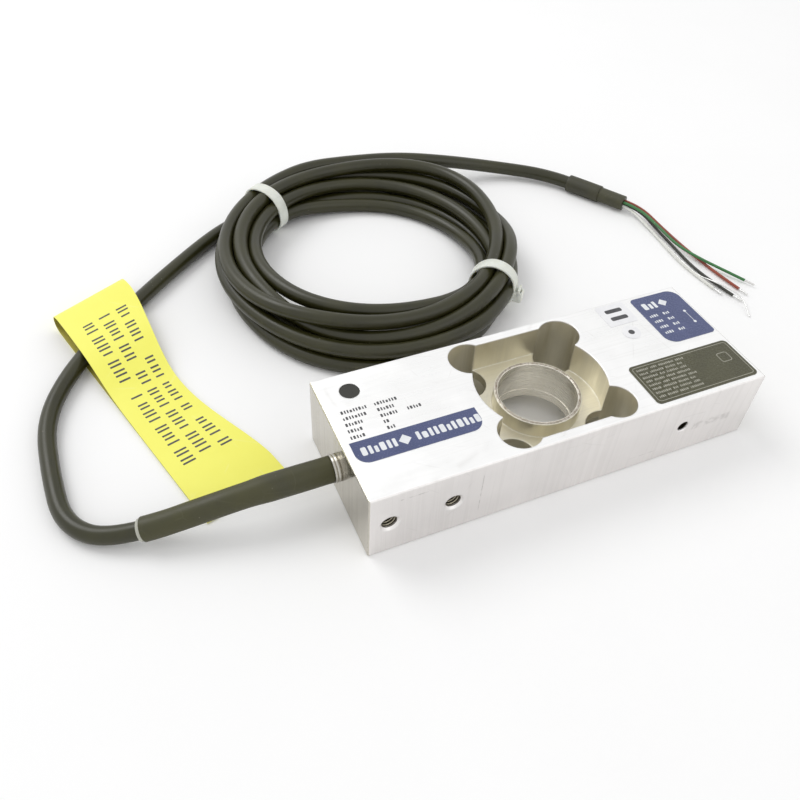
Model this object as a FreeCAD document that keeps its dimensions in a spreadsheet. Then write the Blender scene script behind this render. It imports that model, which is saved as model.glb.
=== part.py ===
import FreeCAD, Part

import math
import os

import Sketcher
from FreeCAD import Placement, Rotation, Vector

# Single point load cell: a steel block with four thin beams around a sealed gauge ring, and its
# cable. X runs along the block, Y across it, Z up. The origin is the centre of the block's underside.
# Every length is in millimetres and every angle in degrees.

SIZES = {
    # spring element
    "block_long": 150.0, "block_wide": 54.0, "block_high": 28.5, "edge_break": 0.4,
    "pocket_x": -0.75, "rim_wall": 3.5, "lobe_x": 18.4, "lobe_radius": 7.5, "beam_thin": 1.3,
    "web_thick": 3.6, "ring_high": 15.8, "ring_radius": 15.4, "ring_bore": 14.6,
    "chamber_radius": 14.9, "chamber_high": 9.0,
    # tapped holes, measured from the block's ends
    "tap_first": 7.3, "tap_pitch": 22.0, "tap_bore": 5.0, "tap_sink": 7.0, "tap_deep": 12.0,
    "stop_in": 30.8, "stop_bore": 4.2, "stop_sink": 4.8, "stop_deep": 9.0,
    # wiring ways inside the block, measured from its cable end
    "gland_bore": 9.0, "gland_deep": 8.0, "junction_bore": 5.0, "junction_deep": 19.0,
    "channel_bore": 2.2, "cross_bore": 4.0,
    "cavity_in": 11.1, "cavity_y": 18.2, "cavity_bore": 7.0, "cavity_floor": 7.0,
    # sealing sleeve and its welds
    "sleeve_bore": 14.0, "sleeve_waist": 14.35, "sleeve_waist_bore": 14.15,
    "bead_inner": 14.2, "bead_outer": 15.1, "bead_high": 0.3,
    # gauges and wiring
    "gauge_thick": 0.2, "gauge_arc": 16.0, "gauge_high": 4.7,
    "ribbon_inner": 14.45, "ribbon_outer": 14.6, "ribbon_high": 1.7, "solder_gap": 0.1,
    "core_radius": 1.0, "gauge_lead_radius": 0.7, "lead_spread": 1.0, "inner_bend": 1.6,
    "board_wide": 5.6, "board_thick": 1.0, "plug_floor": 19.0, "plug_sunk": 0.15,
    "resistor_radius": 0.8, "resistor_long": 4.0,
    # cable gland, sleeve and cable
    "cable_radius": 3.1, "cable_in": 6.0, "collar_radius": 4.7, "collar_long": 2.2,
    "tail_radius": 4.2, "tail_long": 12.0, "gland_inner": 3.5,
    "liner_inner": 3.4, "liner_outer": 3.75, "liner_shows": 1.3,
    "boot_outer": 4.6, "boot_thick_long": 24.8, "boot_slim": 4.15, "boot_long": 68.0,
    # coil, ties and tag
    "coil_in": 57.0, "coil_y": 115.0, "coil_radius": 58.0, "coil_section": 9.2,
    "strap_thick": 0.9, "strap_arc": 3.6, "tie_one_angle": 125.0, "tie_two_angle": -44.0,
    "head_long": 5.2, "head_wide": 4.6, "head_high": 4.0, "tag_wide": 32.4, "tag_thick": 0.3,
    "tag_edge": 41.0,
    # far end
    "shrink_bore": 3.4, "shrink_thick_outer": 4.1, "shrink_thin_outer": 3.6,
    "shrink_thick_long": 17.9, "shrink_thin_long": 13.2,
    "wire_radius": 0.65, "drain_radius": 0.3, "tip_radius": 0.4, "tip_long": 5.0,
    # labels on the top face, each measured from the block's edges and from its neighbours
    "label_thick": 0.15,
    "strip_end": 2.6, "strip_lobe": 1.75, "strip_front": 14.1, "strip_wide": 9.3, "strip_round": 4.6,
    "plate_end": 1.5, "plate_lobe": 5.35, "plate_front": 2.0, "plate_wide": 18.8, "plate_round": 1.8,
    "wiring_end": 1.1, "wiring_long": 20.6, "wiring_back": 1.8, "wiring_plate": 5.2,
    "wiring_round": 4.6, "wiring_nip": 1.6,
    "square_wiring": 3.1, "square_long": 12.4, "square_back": 1.2, "square_wide": 11.4,
    "square_round": 0.8, "dot_wiring": 9.8, "dot_back": 17.5, "dot_radius": 3.5,
}

# Routes of the cable and of its bare wires: hand-chosen corner points, with X measured from the
# face that the cable comes out of. The cable leaves at the block's mid-height.
AXIS_UP = SIZES["block_high"] / 2
LEAD = [(SIZES["cable_in"], 0.0, AXIS_UP), (-32.0, 0.0, AXIS_UP),
        (-72.0, 5.6, 3.7), (-86.0, 17.0, 3.2), (-87.5, 40.0, 3.2), (-86.5, 66.0, 3.4),
        (-75.0, 88.0, 3.8), (-57.0, 108.5, 3.8), (-37.0, 128.0, 3.8), (-15.0, 147.5, 3.6),
        (-1.0, 158.8, 3.3), (12.1, 167.6, 3.3)]
TAIL = [(71.3, 182.1, 17.3), (97.0, 178.5, 17.0), (123.0, 173.0, 12.5), (151.0, 168.0, 5.2),
        (172.0, 153.5, 4.2), (185.5, 133.0, 4.2), (195.8, 115.5, 4.2)]

doc = FreeCAD.newDocument("LoadCell")
sheet = doc.addObject("Spreadsheet::Sheet", "Sizes")
for row, (alias, value) in enumerate(SIZES.items(), start=1):
    sheet.set("A%d" % row, alias)
    sheet.set("B%d" % row, "%g" % value)
    sheet.setAlias("B%d" % row, alias)
doc.recompute()

NODES = []
S = {alias: float(sheet.get(alias)) for alias in SIZES}
MID = "Sizes.block_high / 2"
TOP = "Sizes.block_high"
HALF_LONG = "Sizes.block_long / 2"
HALF_WIDE = "Sizes.block_wide / 2"
END_X = -S["block_long"] / 2


def node(item, label):
    """Name a finished piece and put it on the list of files."""
    item.Label = label
    NODES.append(item)
    return item


def bind(item, **expressions):
    """Bind properties of an item to expressions on the sheet."""
    for prop, expression in expressions.items():
        item.setExpression(prop, expression)


def place(item, x="0", y="0", z="0", turn=None):
    """Place an item by three expressions and an optional rotation."""
    if turn is not None:
        item.Placement = Placement(Vector(0, 0, 0), turn)
    for axis, expression in zip("xyz", (x, y, z)):
        item.setExpression("Placement.Base." + axis, expression)
    return item


def round_bar(radius, height, x="0", y="0", z="0", turn=None, angle=None):
    """Make a cylinder from expressions."""
    bar = doc.addObject("Part::Cylinder", "Bar")
    bind(bar, Radius=radius, Height=height)
    if angle is not None:
        bind(bar, Angle=angle)
    return place(bar, x, y, z, turn)


def block(long, wide, high, x="0", y="0", z="0", turn=None):
    """Make a box from expressions."""
    box = doc.addObject("Part::Box", "Block")
    bind(box, Length=long, Width=wide, Height=high)
    return place(box, x, y, z, turn)


def cut(base, *tools):
    """Cut one or more tools out of a base."""
    for tool in tools:
        result = doc.addObject("Part::Cut", "Cut")
        result.Base, result.Tool = base, tool
        base = result
    return base


def fuse(*parts):
    """Join parts into one."""
    result = doc.addObject("Part::MultiFuse", "Join")
    result.Shapes = list(parts)
    return result


def tube(inner, outer, height, **where):
    """Make a round tube from expressions."""
    return cut(round_bar(outer, height, **where), round_bar(inner, height, **where))


ALONG_X = Rotation(Vector(0, 1, 0), 90)


# ---- sketches ------------------------------------------------------------------------------------

def new_body(label):
    """Make an empty body that is one of the pieces."""
    return node(doc.addObject("PartDesign::Body", label), label)


def new_sketch(body, role, lift="0", across="0"):
    """Attach a sketch to one of the body's origin planes, moved by expressions."""
    plane = next(item for item in body.Origin.OriginFeatures if item.Role == role)
    sketch = body.newObject("Sketcher::SketchObject", "Sketch")
    sketch.AttachmentSupport = [(plane, "")]
    sketch.MapMode = "FlatFace"
    sketch.setExpression("AttachmentOffset.Base.z", lift)
    sketch.setExpression("AttachmentOffset.Base.x", across)
    return sketch


def dimension(sketch, kind, expression, *references):
    """Add one named dimension that follows an expression."""
    index = sketch.addConstraint(Sketcher.Constraint(kind, *references))
    name = "size%d" % index
    sketch.renameConstraint(index, name)
    sketch.setExpression("Constraints." + name, expression)


def add_circle(sketch, radius, x="0", y="0", about=(0.0, 0.0), size=1.0):
    """Draw a circle whose centre and radius follow expressions."""
    index = sketch.addGeometry(Part.Circle(Vector(about[0], about[1], 0), Vector(0, 0, 1), size))
    dimension(sketch, "Radius", radius, index, size)
    if x == "0" and y == "0":
        sketch.addConstraint(Sketcher.Constraint("Coincident", index, 3, -1, 1))
        return
    for kind, expression, start in (("DistanceX", x, about[0]), ("DistanceY", y, about[1])):
        if expression == "0":
            sketch.addConstraint(Sketcher.Constraint("PointOnObject", index, 3, -1))
        else:
            dimension(sketch, kind, expression, -1, 1, index, 3, start)


def add_rectangle(sketch, left, right, low, high, start):
    """Draw a rectangle whose four sides follow expressions."""
    x0, x1, y0, y1 = start
    corners = [Vector(x0, y0, 0), Vector(x1, y0, 0), Vector(x1, y1, 0), Vector(x0, y1, 0)]
    first = None
    for i in range(4):
        index = sketch.addGeometry(Part.LineSegment(corners[i], corners[(i + 1) % 4]))
        first = index if first is None else first
        sketch.addConstraint(Sketcher.Constraint("Horizontal" if i % 2 == 0 else "Vertical", index))
    for i in range(4):
        sketch.addConstraint(Sketcher.Constraint("Coincident", first + i, 2, first + (i + 1) % 4, 1))
    dimension(sketch, "DistanceX", left, -1, 1, first, 1, x0)
    dimension(sketch, "DistanceX", right, -1, 1, first + 1, 1, x1)
    dimension(sketch, "DistanceY", low, -1, 1, first, 1, y0)
    dimension(sketch, "DistanceY", high, -1, 1, first + 2, 1, y1)


def feature(body, kind, sketch, length=None, flipped=False):
    """Add a pad or pocket and report how the body's volume changed."""
    before = body.Shape.Volume if body.Shape.Solids else 0.0
    item = body.newObject("PartDesign::" + kind, kind)
    item.Profile = sketch
    if kind in ("Pad", "Pocket"):
        if length is None:
            item.Type = 1
        else:
            item.setExpression("Length", length)
        item.Reversed = flipped
    sketch.Visibility = False
    doc.recompute()
    after = body.Shape.Volume
    print("  %s %s volume %.0f -> %.0f" % (body.Label, kind, before, after))
    assert (after > before) == (kind in ("Pad", "Revolution")), "%s went the wrong way" % kind
    return item


def edges_where(shape, test):
    """Name the edges of a shape that pass a test on the edge."""
    return ["Edge%d" % (i + 1) for i, edge in enumerate(shape.Edges) if test(edge)]


# ---- spring element ------------------------------------------------------------------------------

POCKET_RADIUS = "Sizes.block_wide / 2 - Sizes.rim_wall"
LOBE_Y = "(Sizes.block_wide / 2 - Sizes.beam_thin - Sizes.lobe_radius)"
CAVITY_X = "Sizes.cavity_in - Sizes.block_long / 2"
RECESS = "(Sizes.block_high - Sizes.web_thick) / 2"


def add_recesses(body):
    """Cut the round and straight-sided recess from the top and from the underside."""
    radius = S["block_wide"] / 2 - S["rim_wall"]
    for lift, flipped in ((TOP, False), ("0", True)):
        disc = new_sketch(body, "XY_Plane", lift, "Sizes.pocket_x")
        add_circle(disc, POCKET_RADIUS, size=radius)
        feature(body, "Pocket", disc, RECESS, flipped)
        bar = new_sketch(body, "XY_Plane", lift, "Sizes.pocket_x")
        add_rectangle(bar, "-Sizes.lobe_x", "Sizes.lobe_x", "-(%s)" % POCKET_RADIUS,
                      POCKET_RADIUS, (-S["lobe_x"], S["lobe_x"], -radius, radius))
        feature(body, "Pocket", bar, RECESS, flipped)


def add_gauge_ring(body):
    """Raise the ring on both sides of the web, bore it and cut the gauge chamber inside it."""
    ring = new_sketch(body, "XY_Plane", MID + " - Sizes.ring_high / 2", "Sizes.pocket_x")
    add_circle(ring, "Sizes.ring_radius", size=S["ring_radius"])
    add_circle(ring, "Sizes.ring_bore", size=S["ring_bore"])
    feature(body, "Pad", ring, "Sizes.ring_high")
    bore = new_sketch(body, "XY_Plane", TOP, "Sizes.pocket_x")
    add_circle(bore, "Sizes.ring_bore", size=S["ring_bore"])
    feature(body, "Pocket", bore)
    chamber = new_sketch(body, "XZ_Plane", "0", "Sizes.pocket_x")
    low, high = S["block_high"] / 2 - S["chamber_high"] / 2, S["block_high"] / 2 + S["chamber_high"] / 2
    add_rectangle(chamber, "Sizes.ring_bore - 0.2", "Sizes.chamber_radius",
                  MID + " - Sizes.chamber_high / 2", MID + " + Sizes.chamber_high / 2",
                  (S["ring_bore"] - 0.2, S["chamber_radius"], low, high))
    before = body.Shape.Volume
    groove = body.newObject("PartDesign::Groove", "Groove")
    groove.Profile = chamber
    groove.ReferenceAxis = (chamber, ["V_Axis"])
    groove.Angle = 360
    doc.recompute()
    print("  spring_element Groove volume %.0f -> %.0f" % (before, body.Shape.Volume))
    assert body.Shape.Volume < before, "the chamber was not cut"


def add_lobes(body):
    """Drill the four through holes that leave the thin beams."""
    lobes = new_sketch(body, "XY_Plane", TOP, "Sizes.pocket_x")
    lobe_y = S["block_wide"] / 2 - S["beam_thin"] - S["lobe_radius"]
    for side_x in (-1, 1):
        for side_y in (-1, 1):
            add_circle(lobes, "Sizes.lobe_radius", "%d * Sizes.lobe_x" % side_x,
                       "%d * %s" % (side_y, LOBE_Y),
                       (side_x * S["lobe_x"], side_y * lobe_y), S["lobe_radius"])
    feature(body, "Pocket", lobes)


def add_tapped_holes(body):
    """Drill the fixed-end holes, the load-end holes and the stop hole, all countersunk."""
    first = HALF_LONG + " - Sizes.tap_first"
    second = first + " - Sizes.tap_pitch"
    near = -END_X - S["tap_first"]
    half = S["block_high"] / 2
    sets = [
        (HALF_WIDE, False, [("-(%s)" % first, -near), ("-(%s)" % second, -near + S["tap_pitch"])],
         "tap"),
        ("-(%s)" % HALF_WIDE, True, [(first, near), (second, near - S["tap_pitch"])], "tap"),
        (HALF_WIDE, False, [(HALF_LONG + " - Sizes.stop_in", -END_X - S["stop_in"])], "stop"),
    ]
    for lift, flipped, places, kind in sets:
        sketch = new_sketch(body, "XZ_Plane", lift)
        for expression, start in places:
            add_circle(sketch, "Sizes.%s_bore / 2" % kind, expression, MID, (start, half),
                       S[kind + "_bore"] / 2)
        doc.recompute()
        before = body.Shape.Volume
        hole = body.newObject("PartDesign::Hole", "Hole")
        hole.Profile = sketch
        hole.ThreadType = 0
        hole.setExpression("Diameter", "Sizes.%s_bore" % kind)
        hole.DepthType = 0
        hole.setExpression("Depth", "Sizes.%s_deep" % kind)
        hole.HoleCutType = "Countersink"
        hole.setExpression("HoleCutDiameter", "Sizes.%s_sink" % kind)
        hole.HoleCutCountersinkAngle = 90
        hole.DrillPoint = 1
        hole.Reversed = flipped
        doc.recompute()
        print("  spring_element Hole volume %.0f -> %.0f" % (before, body.Shape.Volume))
        assert body.Shape.Volume < before, "a hole was not cut"


def add_wiring_ways(body):
    """Bore the gland seat, the junction, the channel to the ring, the cavity and its cross way."""
    ways = [
        ("Sizes.gland_bore / 2", S["gland_bore"] / 2, "Sizes.gland_deep"),
        ("Sizes.junction_bore / 2", S["junction_bore"] / 2, "Sizes.junction_deep"),
        ("Sizes.channel_bore / 2", S["channel_bore"] / 2,
         HALF_LONG + " + Sizes.pocket_x - Sizes.ring_bore - Sizes.solder_gap"),
    ]
    for radius, start, deep in ways:
        sketch = new_sketch(body, "YZ_Plane", "-(%s)" % HALF_LONG)
        add_circle(sketch, radius, "0.001", MID, (0.001, S["block_high"] / 2), start)
        feature(body, "Pocket", sketch, deep, True)
    cavity_x = END_X + S["cavity_in"]
    cavity = new_sketch(body, "XY_Plane", TOP)
    add_circle(cavity, "Sizes.cavity_bore / 2", CAVITY_X, "Sizes.cavity_y",
               (cavity_x, S["cavity_y"]), S["cavity_bore"] / 2)
    feature(body, "Pocket", cavity, TOP + " - Sizes.cavity_floor")
    cross = new_sketch(body, "XZ_Plane")
    add_circle(cross, "Sizes.cross_bore / 2", CAVITY_X, MID,
               (cavity_x, S["block_high"] / 2), S["cross_bore"] / 2)
    feature(body, "Pocket", cross, "Sizes.cavity_y")


def add_edge_breaks(body):
    """Break the block's twelve outer edges."""
    half = (S["block_long"] / 2, S["block_wide"] / 2)

    def outer(edge):
        box = edge.BoundBox
        on_x = abs(abs(box.XMin) - half[0]) < 1e-4 and abs(box.XLength) < 1e-4
        on_y = abs(abs(box.YMin) - half[1]) < 1e-4 and abs(box.YLength) < 1e-4
        on_z = min(abs(box.ZMin), abs(box.ZMin - S["block_high"])) < 1e-4 and abs(box.ZLength) < 1e-4
        return on_x + on_y + on_z == 2

    chamfer = body.newObject("PartDesign::Chamfer", "Chamfer")
    base = body.Tip if body.Tip is not chamfer else chamfer.BaseFeature
    names = edges_where(base.Shape, outer)
    assert len(names) == 12, "expected 12 outer edges, found %d" % len(names)
    chamfer.Base = (base, names)
    chamfer.setExpression("Size", "Sizes.edge_break")
    doc.recompute()


def make_spring_element():
    """Model the one-piece block."""
    body = new_body("spring_element")
    half_wide = S["block_wide"] / 2
    outline = new_sketch(body, "XY_Plane")
    add_rectangle(outline, "-" + HALF_LONG, HALF_LONG, "-" + HALF_WIDE, HALF_WIDE,
                  (END_X, -END_X, -half_wide, half_wide))
    feature(body, "Pad", outline, TOP)
    add_edge_breaks(body)
    add_recesses(body)
    add_gauge_ring(body)
    add_lobes(body)
    add_tapped_holes(body)
    add_wiring_ways(body)


# ---- sealed gauge ring ---------------------------------------------------------------------------

RING_LOW = MID + " - Sizes.ring_high / 2"


def make_sealed_ring():
    """Model the sealing sleeve, its two weld beads, the gauges and their ribbon."""
    chamber_low = MID + " - Sizes.chamber_high / 2"
    sleeve = cut(
        round_bar("Sizes.ring_bore", "Sizes.ring_high", x="Sizes.pocket_x", z=RING_LOW),
        tube("Sizes.sleeve_waist", "Sizes.ring_bore + 1", "Sizes.chamber_high",
             x="Sizes.pocket_x", z=chamber_low),
        round_bar("Sizes.sleeve_bore", "Sizes.ring_high", x="Sizes.pocket_x", z=RING_LOW),
        round_bar("Sizes.sleeve_waist_bore", "Sizes.chamber_high", x="Sizes.pocket_x", z=chamber_low))
    node(sleeve, "seal_sleeve")
    for label, low in (("seal_weld_top", RING_LOW + " + Sizes.ring_high"),
                       ("seal_weld_bottom", RING_LOW + " - Sizes.bead_high")):
        node(tube("Sizes.bead_inner", "Sizes.bead_outer", "Sizes.bead_high",
                  x="Sizes.pocket_x", z=low), label)
    for count in range(4):
        turn = Rotation(Vector(0, 0, 1), 45 + 90 * count - S["gauge_arc"] / 2)
        where = {"x": "Sizes.pocket_x", "z": MID + " - Sizes.gauge_high / 2", "turn": turn,
                 "angle": "Sizes.gauge_arc"}
        outer = round_bar("Sizes.chamber_radius", "Sizes.gauge_high", **where)
        inner = round_bar("Sizes.chamber_radius - Sizes.gauge_thick", "Sizes.gauge_high", **where)
        node(cut(outer, inner), "strain_gauge_%d" % (count + 1))
    node(tube("Sizes.ribbon_inner", "Sizes.ribbon_outer", "Sizes.ribbon_high", x="Sizes.pocket_x",
              z=MID + " - Sizes.ribbon_high / 2"), "gauge_ribbon")


# ---- routes --------------------------------------------------------------------------------------

def rounded_edges(points, radii=None):
    """Join straight runs with tangent arcs and return the edges and the tightest radius.

    X is measured from the block's cable end. Each arc uses 0.45 of its shorter run unless a radius
    is given for that corner.
    """
    corners = [Vector(END_X + x, y, z) for x, y, z in points]
    edges, tightest, start = [], math.inf, corners[0]
    for i in range(1, len(corners) - 1):
        back, ahead = corners[i - 1] - corners[i], corners[i + 1] - corners[i]
        half_turn = (math.pi - back.getAngle(ahead)) / 2
        reach = 0.45 * min(back.Length, ahead.Length)
        if radii:
            reach = radii[i - 1] * math.tan(half_turn)
        radius = reach / math.tan(half_turn)
        tightest = min(tightest, radius)
        enter = corners[i] + back.normalize() * reach
        leave = corners[i] + ahead.normalize() * reach
        toward = (back + ahead).normalize()
        middle = corners[i] + toward * (radius / math.cos(half_turn) - radius)
        edges.append(Part.LineSegment(start, enter).toShape())
        edges.append(Part.Arc(enter, middle, leave).toShape())
        start = leave
    edges.append(Part.LineSegment(start, corners[-1]).toShape())
    return edges, tightest


def trimmed(edges, begin, end):
    """Keep the stretch of a chain of edges between two distances along it."""
    kept, travelled = [], 0.0
    for edge in edges:
        low, high = max(begin - travelled, 0.0), min(end - travelled, edge.Length)
        travelled += edge.Length
        if high - low < 1e-6:
            continue
        first, last = edge.getParameterByLength(low), edge.getParameterByLength(high)
        kept.append(edge.Curve.toShape(first, last))
    return kept


def sweep(edges, radius):
    """Sweep a circle, whose radius follows an expression, along a chain of edges."""
    spine = doc.addObject("Part::Feature", "Route")
    spine.Shape = Part.Wire(edges)
    first = edges[0]
    circle = doc.addObject("Part::Circle", "Section")
    circle.setExpression("Radius", radius)
    circle.Placement = Placement(first.valueAt(first.FirstParameter),
                                 Rotation(Vector(0, 0, 1), first.tangentAt(first.FirstParameter)))
    pipe = doc.addObject("Part::Sweep", "Pipe")
    pipe.Sections = [circle]
    pipe.Spine = (spine, ["Edge%d" % (i + 1) for i in range(len(edges))])
    pipe.Solid = True
    pipe.Frenet = True
    return pipe


def cord(label, points, radius, inner=None, begin=0.0, end=None, radii=None):
    """Model a cord or a sleeve on a route and report its length, bend and volume."""
    edges, tightest = rounded_edges(points, radii)
    total = sum(edge.Length for edge in edges)
    end = total if end is None else end
    piece = trimmed(edges, begin, end)
    solid = sweep(piece, radius)
    if inner is not None:
        solid = cut(solid, sweep(piece, inner))
    node(solid, label)
    doc.recompute()
    value = named_size(radius)
    area = math.pi * value ** 2
    if inner is not None:
        area -= math.pi * named_size(inner) ** 2
    print("  %s length %.1f tightest radius %.1f volume %.0f of %.0f"
          % (label, end - begin, tightest, solid.Shape.Volume, area * (end - begin)))
    return solid


def named_size(expression):
    """Read one named size that an expression names."""
    return S[expression.split(".")[1]]


# ---- wiring inside the block ---------------------------------------------------------------------

def make_inner_wiring():
    """Model the wires, the terminal board, its resistors and the potting plug."""
    board_face = S["cavity_y"] - S["board_thick"] / 2
    ring_side = S["pocket_x"] - END_X - S["ribbon_outer"] - S["solder_gap"]
    inner_bend = [S["inner_bend"]]
    for label, start, side in (("core_bundle", S["cable_in"], -1), ("gauge_lead", ring_side, 1)):
        turn = S["cavity_in"] + side * S["lead_spread"]
        route = [(start, 0.0, AXIS_UP), (turn, 0.0, AXIS_UP), (turn, board_face, AXIS_UP)]
        cord(label, route, "Sizes.core_radius" if side < 0 else "Sizes.gauge_lead_radius",
             radii=inner_bend)
    node(block("Sizes.board_wide", "Sizes.board_thick", "Sizes.plug_floor - Sizes.cavity_floor",
               CAVITY_X + " - Sizes.board_wide / 2", "Sizes.cavity_y - Sizes.board_thick / 2",
               "Sizes.cavity_floor"), "terminal_board")
    for label, side in (("trim_resistor_1", -1), ("trim_resistor_2", 1)):
        node(round_bar("Sizes.resistor_radius", "Sizes.resistor_long",
                       CAVITY_X + " - Sizes.resistor_long / 2",
                       "Sizes.cavity_y + Sizes.board_thick / 2 + Sizes.resistor_radius",
                       "%s + %d * Sizes.board_wide / 3" % (MID, side), ALONG_X), label)
    node(round_bar("Sizes.cavity_bore / 2", TOP + " - Sizes.plug_sunk - Sizes.plug_floor",
                   CAVITY_X, "Sizes.cavity_y", "Sizes.plug_floor"), "potting_plug")


# ---- cable outlet --------------------------------------------------------------------------------

def make_cable_outlet():
    """Model the gland, its seal, the inner liner and the bend sleeve."""
    face = "-(%s)" % HALF_LONG
    gland = fuse(
        round_bar("Sizes.gland_bore / 2", "Sizes.gland_deep", face, "0", MID, ALONG_X),
        round_bar("Sizes.collar_radius", "Sizes.collar_long", face + " - Sizes.collar_long", "0",
                  MID, ALONG_X),
        round_bar("Sizes.tail_radius", "Sizes.tail_long",
                  face + " - Sizes.collar_long - Sizes.tail_long", "0", MID, ALONG_X))
    long_bore = round_bar("Sizes.gland_inner",
                          "Sizes.gland_deep + Sizes.collar_long + Sizes.tail_long",
                          face + " - Sizes.collar_long - Sizes.tail_long", "0", MID, ALONG_X)
    node(cut(gland, long_bore), "gland_body")
    node(tube("Sizes.cable_radius", "Sizes.gland_inner", "Sizes.cable_in",
              x=face, y="0", z=MID, turn=ALONG_X), "gland_seal")

    collar = S["cable_in"] + S["collar_long"]
    tail_end = collar + S["tail_long"]
    step = collar + S["boot_thick_long"]
    boot_end = collar + S["boot_long"]
    cord("sleeve_liner", LEAD, "Sizes.liner_outer", "Sizes.liner_inner", tail_end,
         boot_end + S["liner_shows"])
    edges, _ = rounded_edges(LEAD)
    thick = sweep(trimmed(edges, collar, step), "Sizes.boot_outer")
    slim = sweep(trimmed(edges, collar, boot_end), "Sizes.boot_slim")
    wide_bore = sweep(trimmed(edges, collar, tail_end), "Sizes.tail_radius")
    slim_bore = sweep(trimmed(edges, collar, boot_end), "Sizes.liner_outer")
    node(cut(fuse(thick, slim), wide_bore, slim_bore), "bend_sleeve")


COIL_X = "Sizes.coil_in - Sizes.block_long / 2"


def make_cable():
    """Model the cable's two visible lengths, its coil and the shrink sleeves on its far end."""
    cord("cable_lead", LEAD, "Sizes.cable_radius")
    coil = doc.addObject("Part::Torus", "Coil")
    bind(coil, Radius1="Sizes.coil_radius", Radius2="Sizes.coil_section")
    lift = "Sizes.coil_section + Sizes.strap_thick"
    node(place(coil, COIL_X, "Sizes.coil_y", lift), "cable_coil")
    make_tie("coil_tie_1", S["tie_one_angle"], lift)
    make_tie("coil_tie_2", S["tie_two_angle"], lift)
    cord("cable_tail", TAIL, "Sizes.cable_radius")
    edges, _ = rounded_edges(TAIL)
    total = sum(edge.Length for edge in edges)
    join = total - S["shrink_thin_long"]
    cord("shrink_thick", TAIL, "Sizes.shrink_thick_outer", "Sizes.shrink_bore",
         join - S["shrink_thick_long"], join)
    cord("shrink_thin", TAIL, "Sizes.shrink_thin_outer", "Sizes.shrink_bore", join, total)


def make_tie(label, angle, lift):
    """Model a strap closed round the coil, with its moulded head outside."""
    turn = Rotation(Vector(0, 0, 1), angle - S["strap_arc"] / 2)
    rings = []
    for radius in ("Sizes.coil_section + Sizes.strap_thick", "Sizes.coil_section"):
        ring = doc.addObject("Part::Torus", "Strap")
        bind(ring, Radius1="Sizes.coil_radius", Radius2=radius, Angle3="Sizes.strap_arc")
        rings.append(place(ring, COIL_X, "Sizes.coil_y", lift, turn))
    strap = cut(rings[0], rings[1])
    reach = S["coil_radius"] + S["coil_section"] + S["strap_thick"] / 2
    direction = Rotation(Vector(0, 0, 1), angle)
    corner = direction.multVec(Vector(reach, -S["head_wide"] / 2, 0))
    head = block("Sizes.head_high", "Sizes.head_wide", "Sizes.head_long",
                 COIL_X + " + %.4f" % corner.x, "Sizes.coil_y + %.4f" % corner.y,
                 lift + " - Sizes.head_long", direction)
    node(fuse(strap, head), label)


# ---- far-end wires -------------------------------------------------------------------------------

WIRES = {
    "wire_red": [(196.65, 115.93, 5.15), (200.98, 108.57, 5.15), (203.2, 94.0, 2.4), (204.6, 79.0, 1.0),
               (205.4, 65.0, 0.9), (206.6, 52.5, 0.9), (208.4, 41.5, 0.9)],
    "wire_green": [(195.01, 114.97, 5.15), (199.34, 107.61, 5.15), (200.2, 92.5, 4.0),
                 (200.2, 77.5, 3.0), (203.8, 65.0, 2.9), (209.2, 55.0, 2.2), (214.4, 45.0, 1.6)],
    "wire_black": [(196.65, 115.93, 3.25), (200.98, 108.57, 3.25), (199.2, 93.0, 1.2),
                 (198.8, 78.0, 0.9), (198.2, 64.0, 0.9), (199.6, 51.0, 0.9), (202.6, 38.6, 0.9)],
    "wire_white": [(195.01, 114.97, 3.25), (197.01, 111.57, 3.25), (195.4, 97.0, 1.4),
                 (194.2, 82.0, 0.9), (193.9, 68.0, 0.9), (195.8, 56.5, 0.9), (197.6, 46.0, 0.9)],
    "drain_wire": [(195.8, 115.5, 2.0), (198.59, 110.76, 2.0), (197.4, 97.0, 0.6), (196.6, 82.0, 0.4),
                   (196.4, 66.0, 0.4), (197.4, 56.0, 0.4), (198.6, 49.5, 2.6), (202.2, 40.5, 2.9),
                   (203.8, 35.0, 2.4), (202.3, 30.0, 1.5), (200.0, 24.4, 0.4)],
}


def make_wires():
    """Model the four core wires with their tinned tips, and the bare drain wire."""
    for label, points in WIRES.items():
        radius = "Sizes.drain_radius" if label == "drain_wire" else "Sizes.wire_radius"
        cord(label, points, radius)
    for label, points in WIRES.items():
        if label == "drain_wire":
            continue
        before, last = Vector(*points[-2]), Vector(*points[-1])
        along = (last - before).normalize()
        tip = round_bar("Sizes.tip_radius", "Sizes.tip_long", "%g - %s" % (last.x, HALF_LONG),
                        "%g" % last.y, "%g" % last.z, Rotation(Vector(0, 0, 1), along))
        node(tip, label.replace("wire", "tip"))


# ---- handling tag --------------------------------------------------------------------------------

TAG_HEADING = Vector(0.2756, -0.9613, 0)
TAG_PROFILE = [(-16.0, 0.15), (-138.0, 0.15), (-138.0, 7.75), (-108.0, 7.75), (-86.0, 0.9), (-18.0, 0.9)]
TAG_RADII = [3.6, 3.6, 18.0, 18.0]


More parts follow.
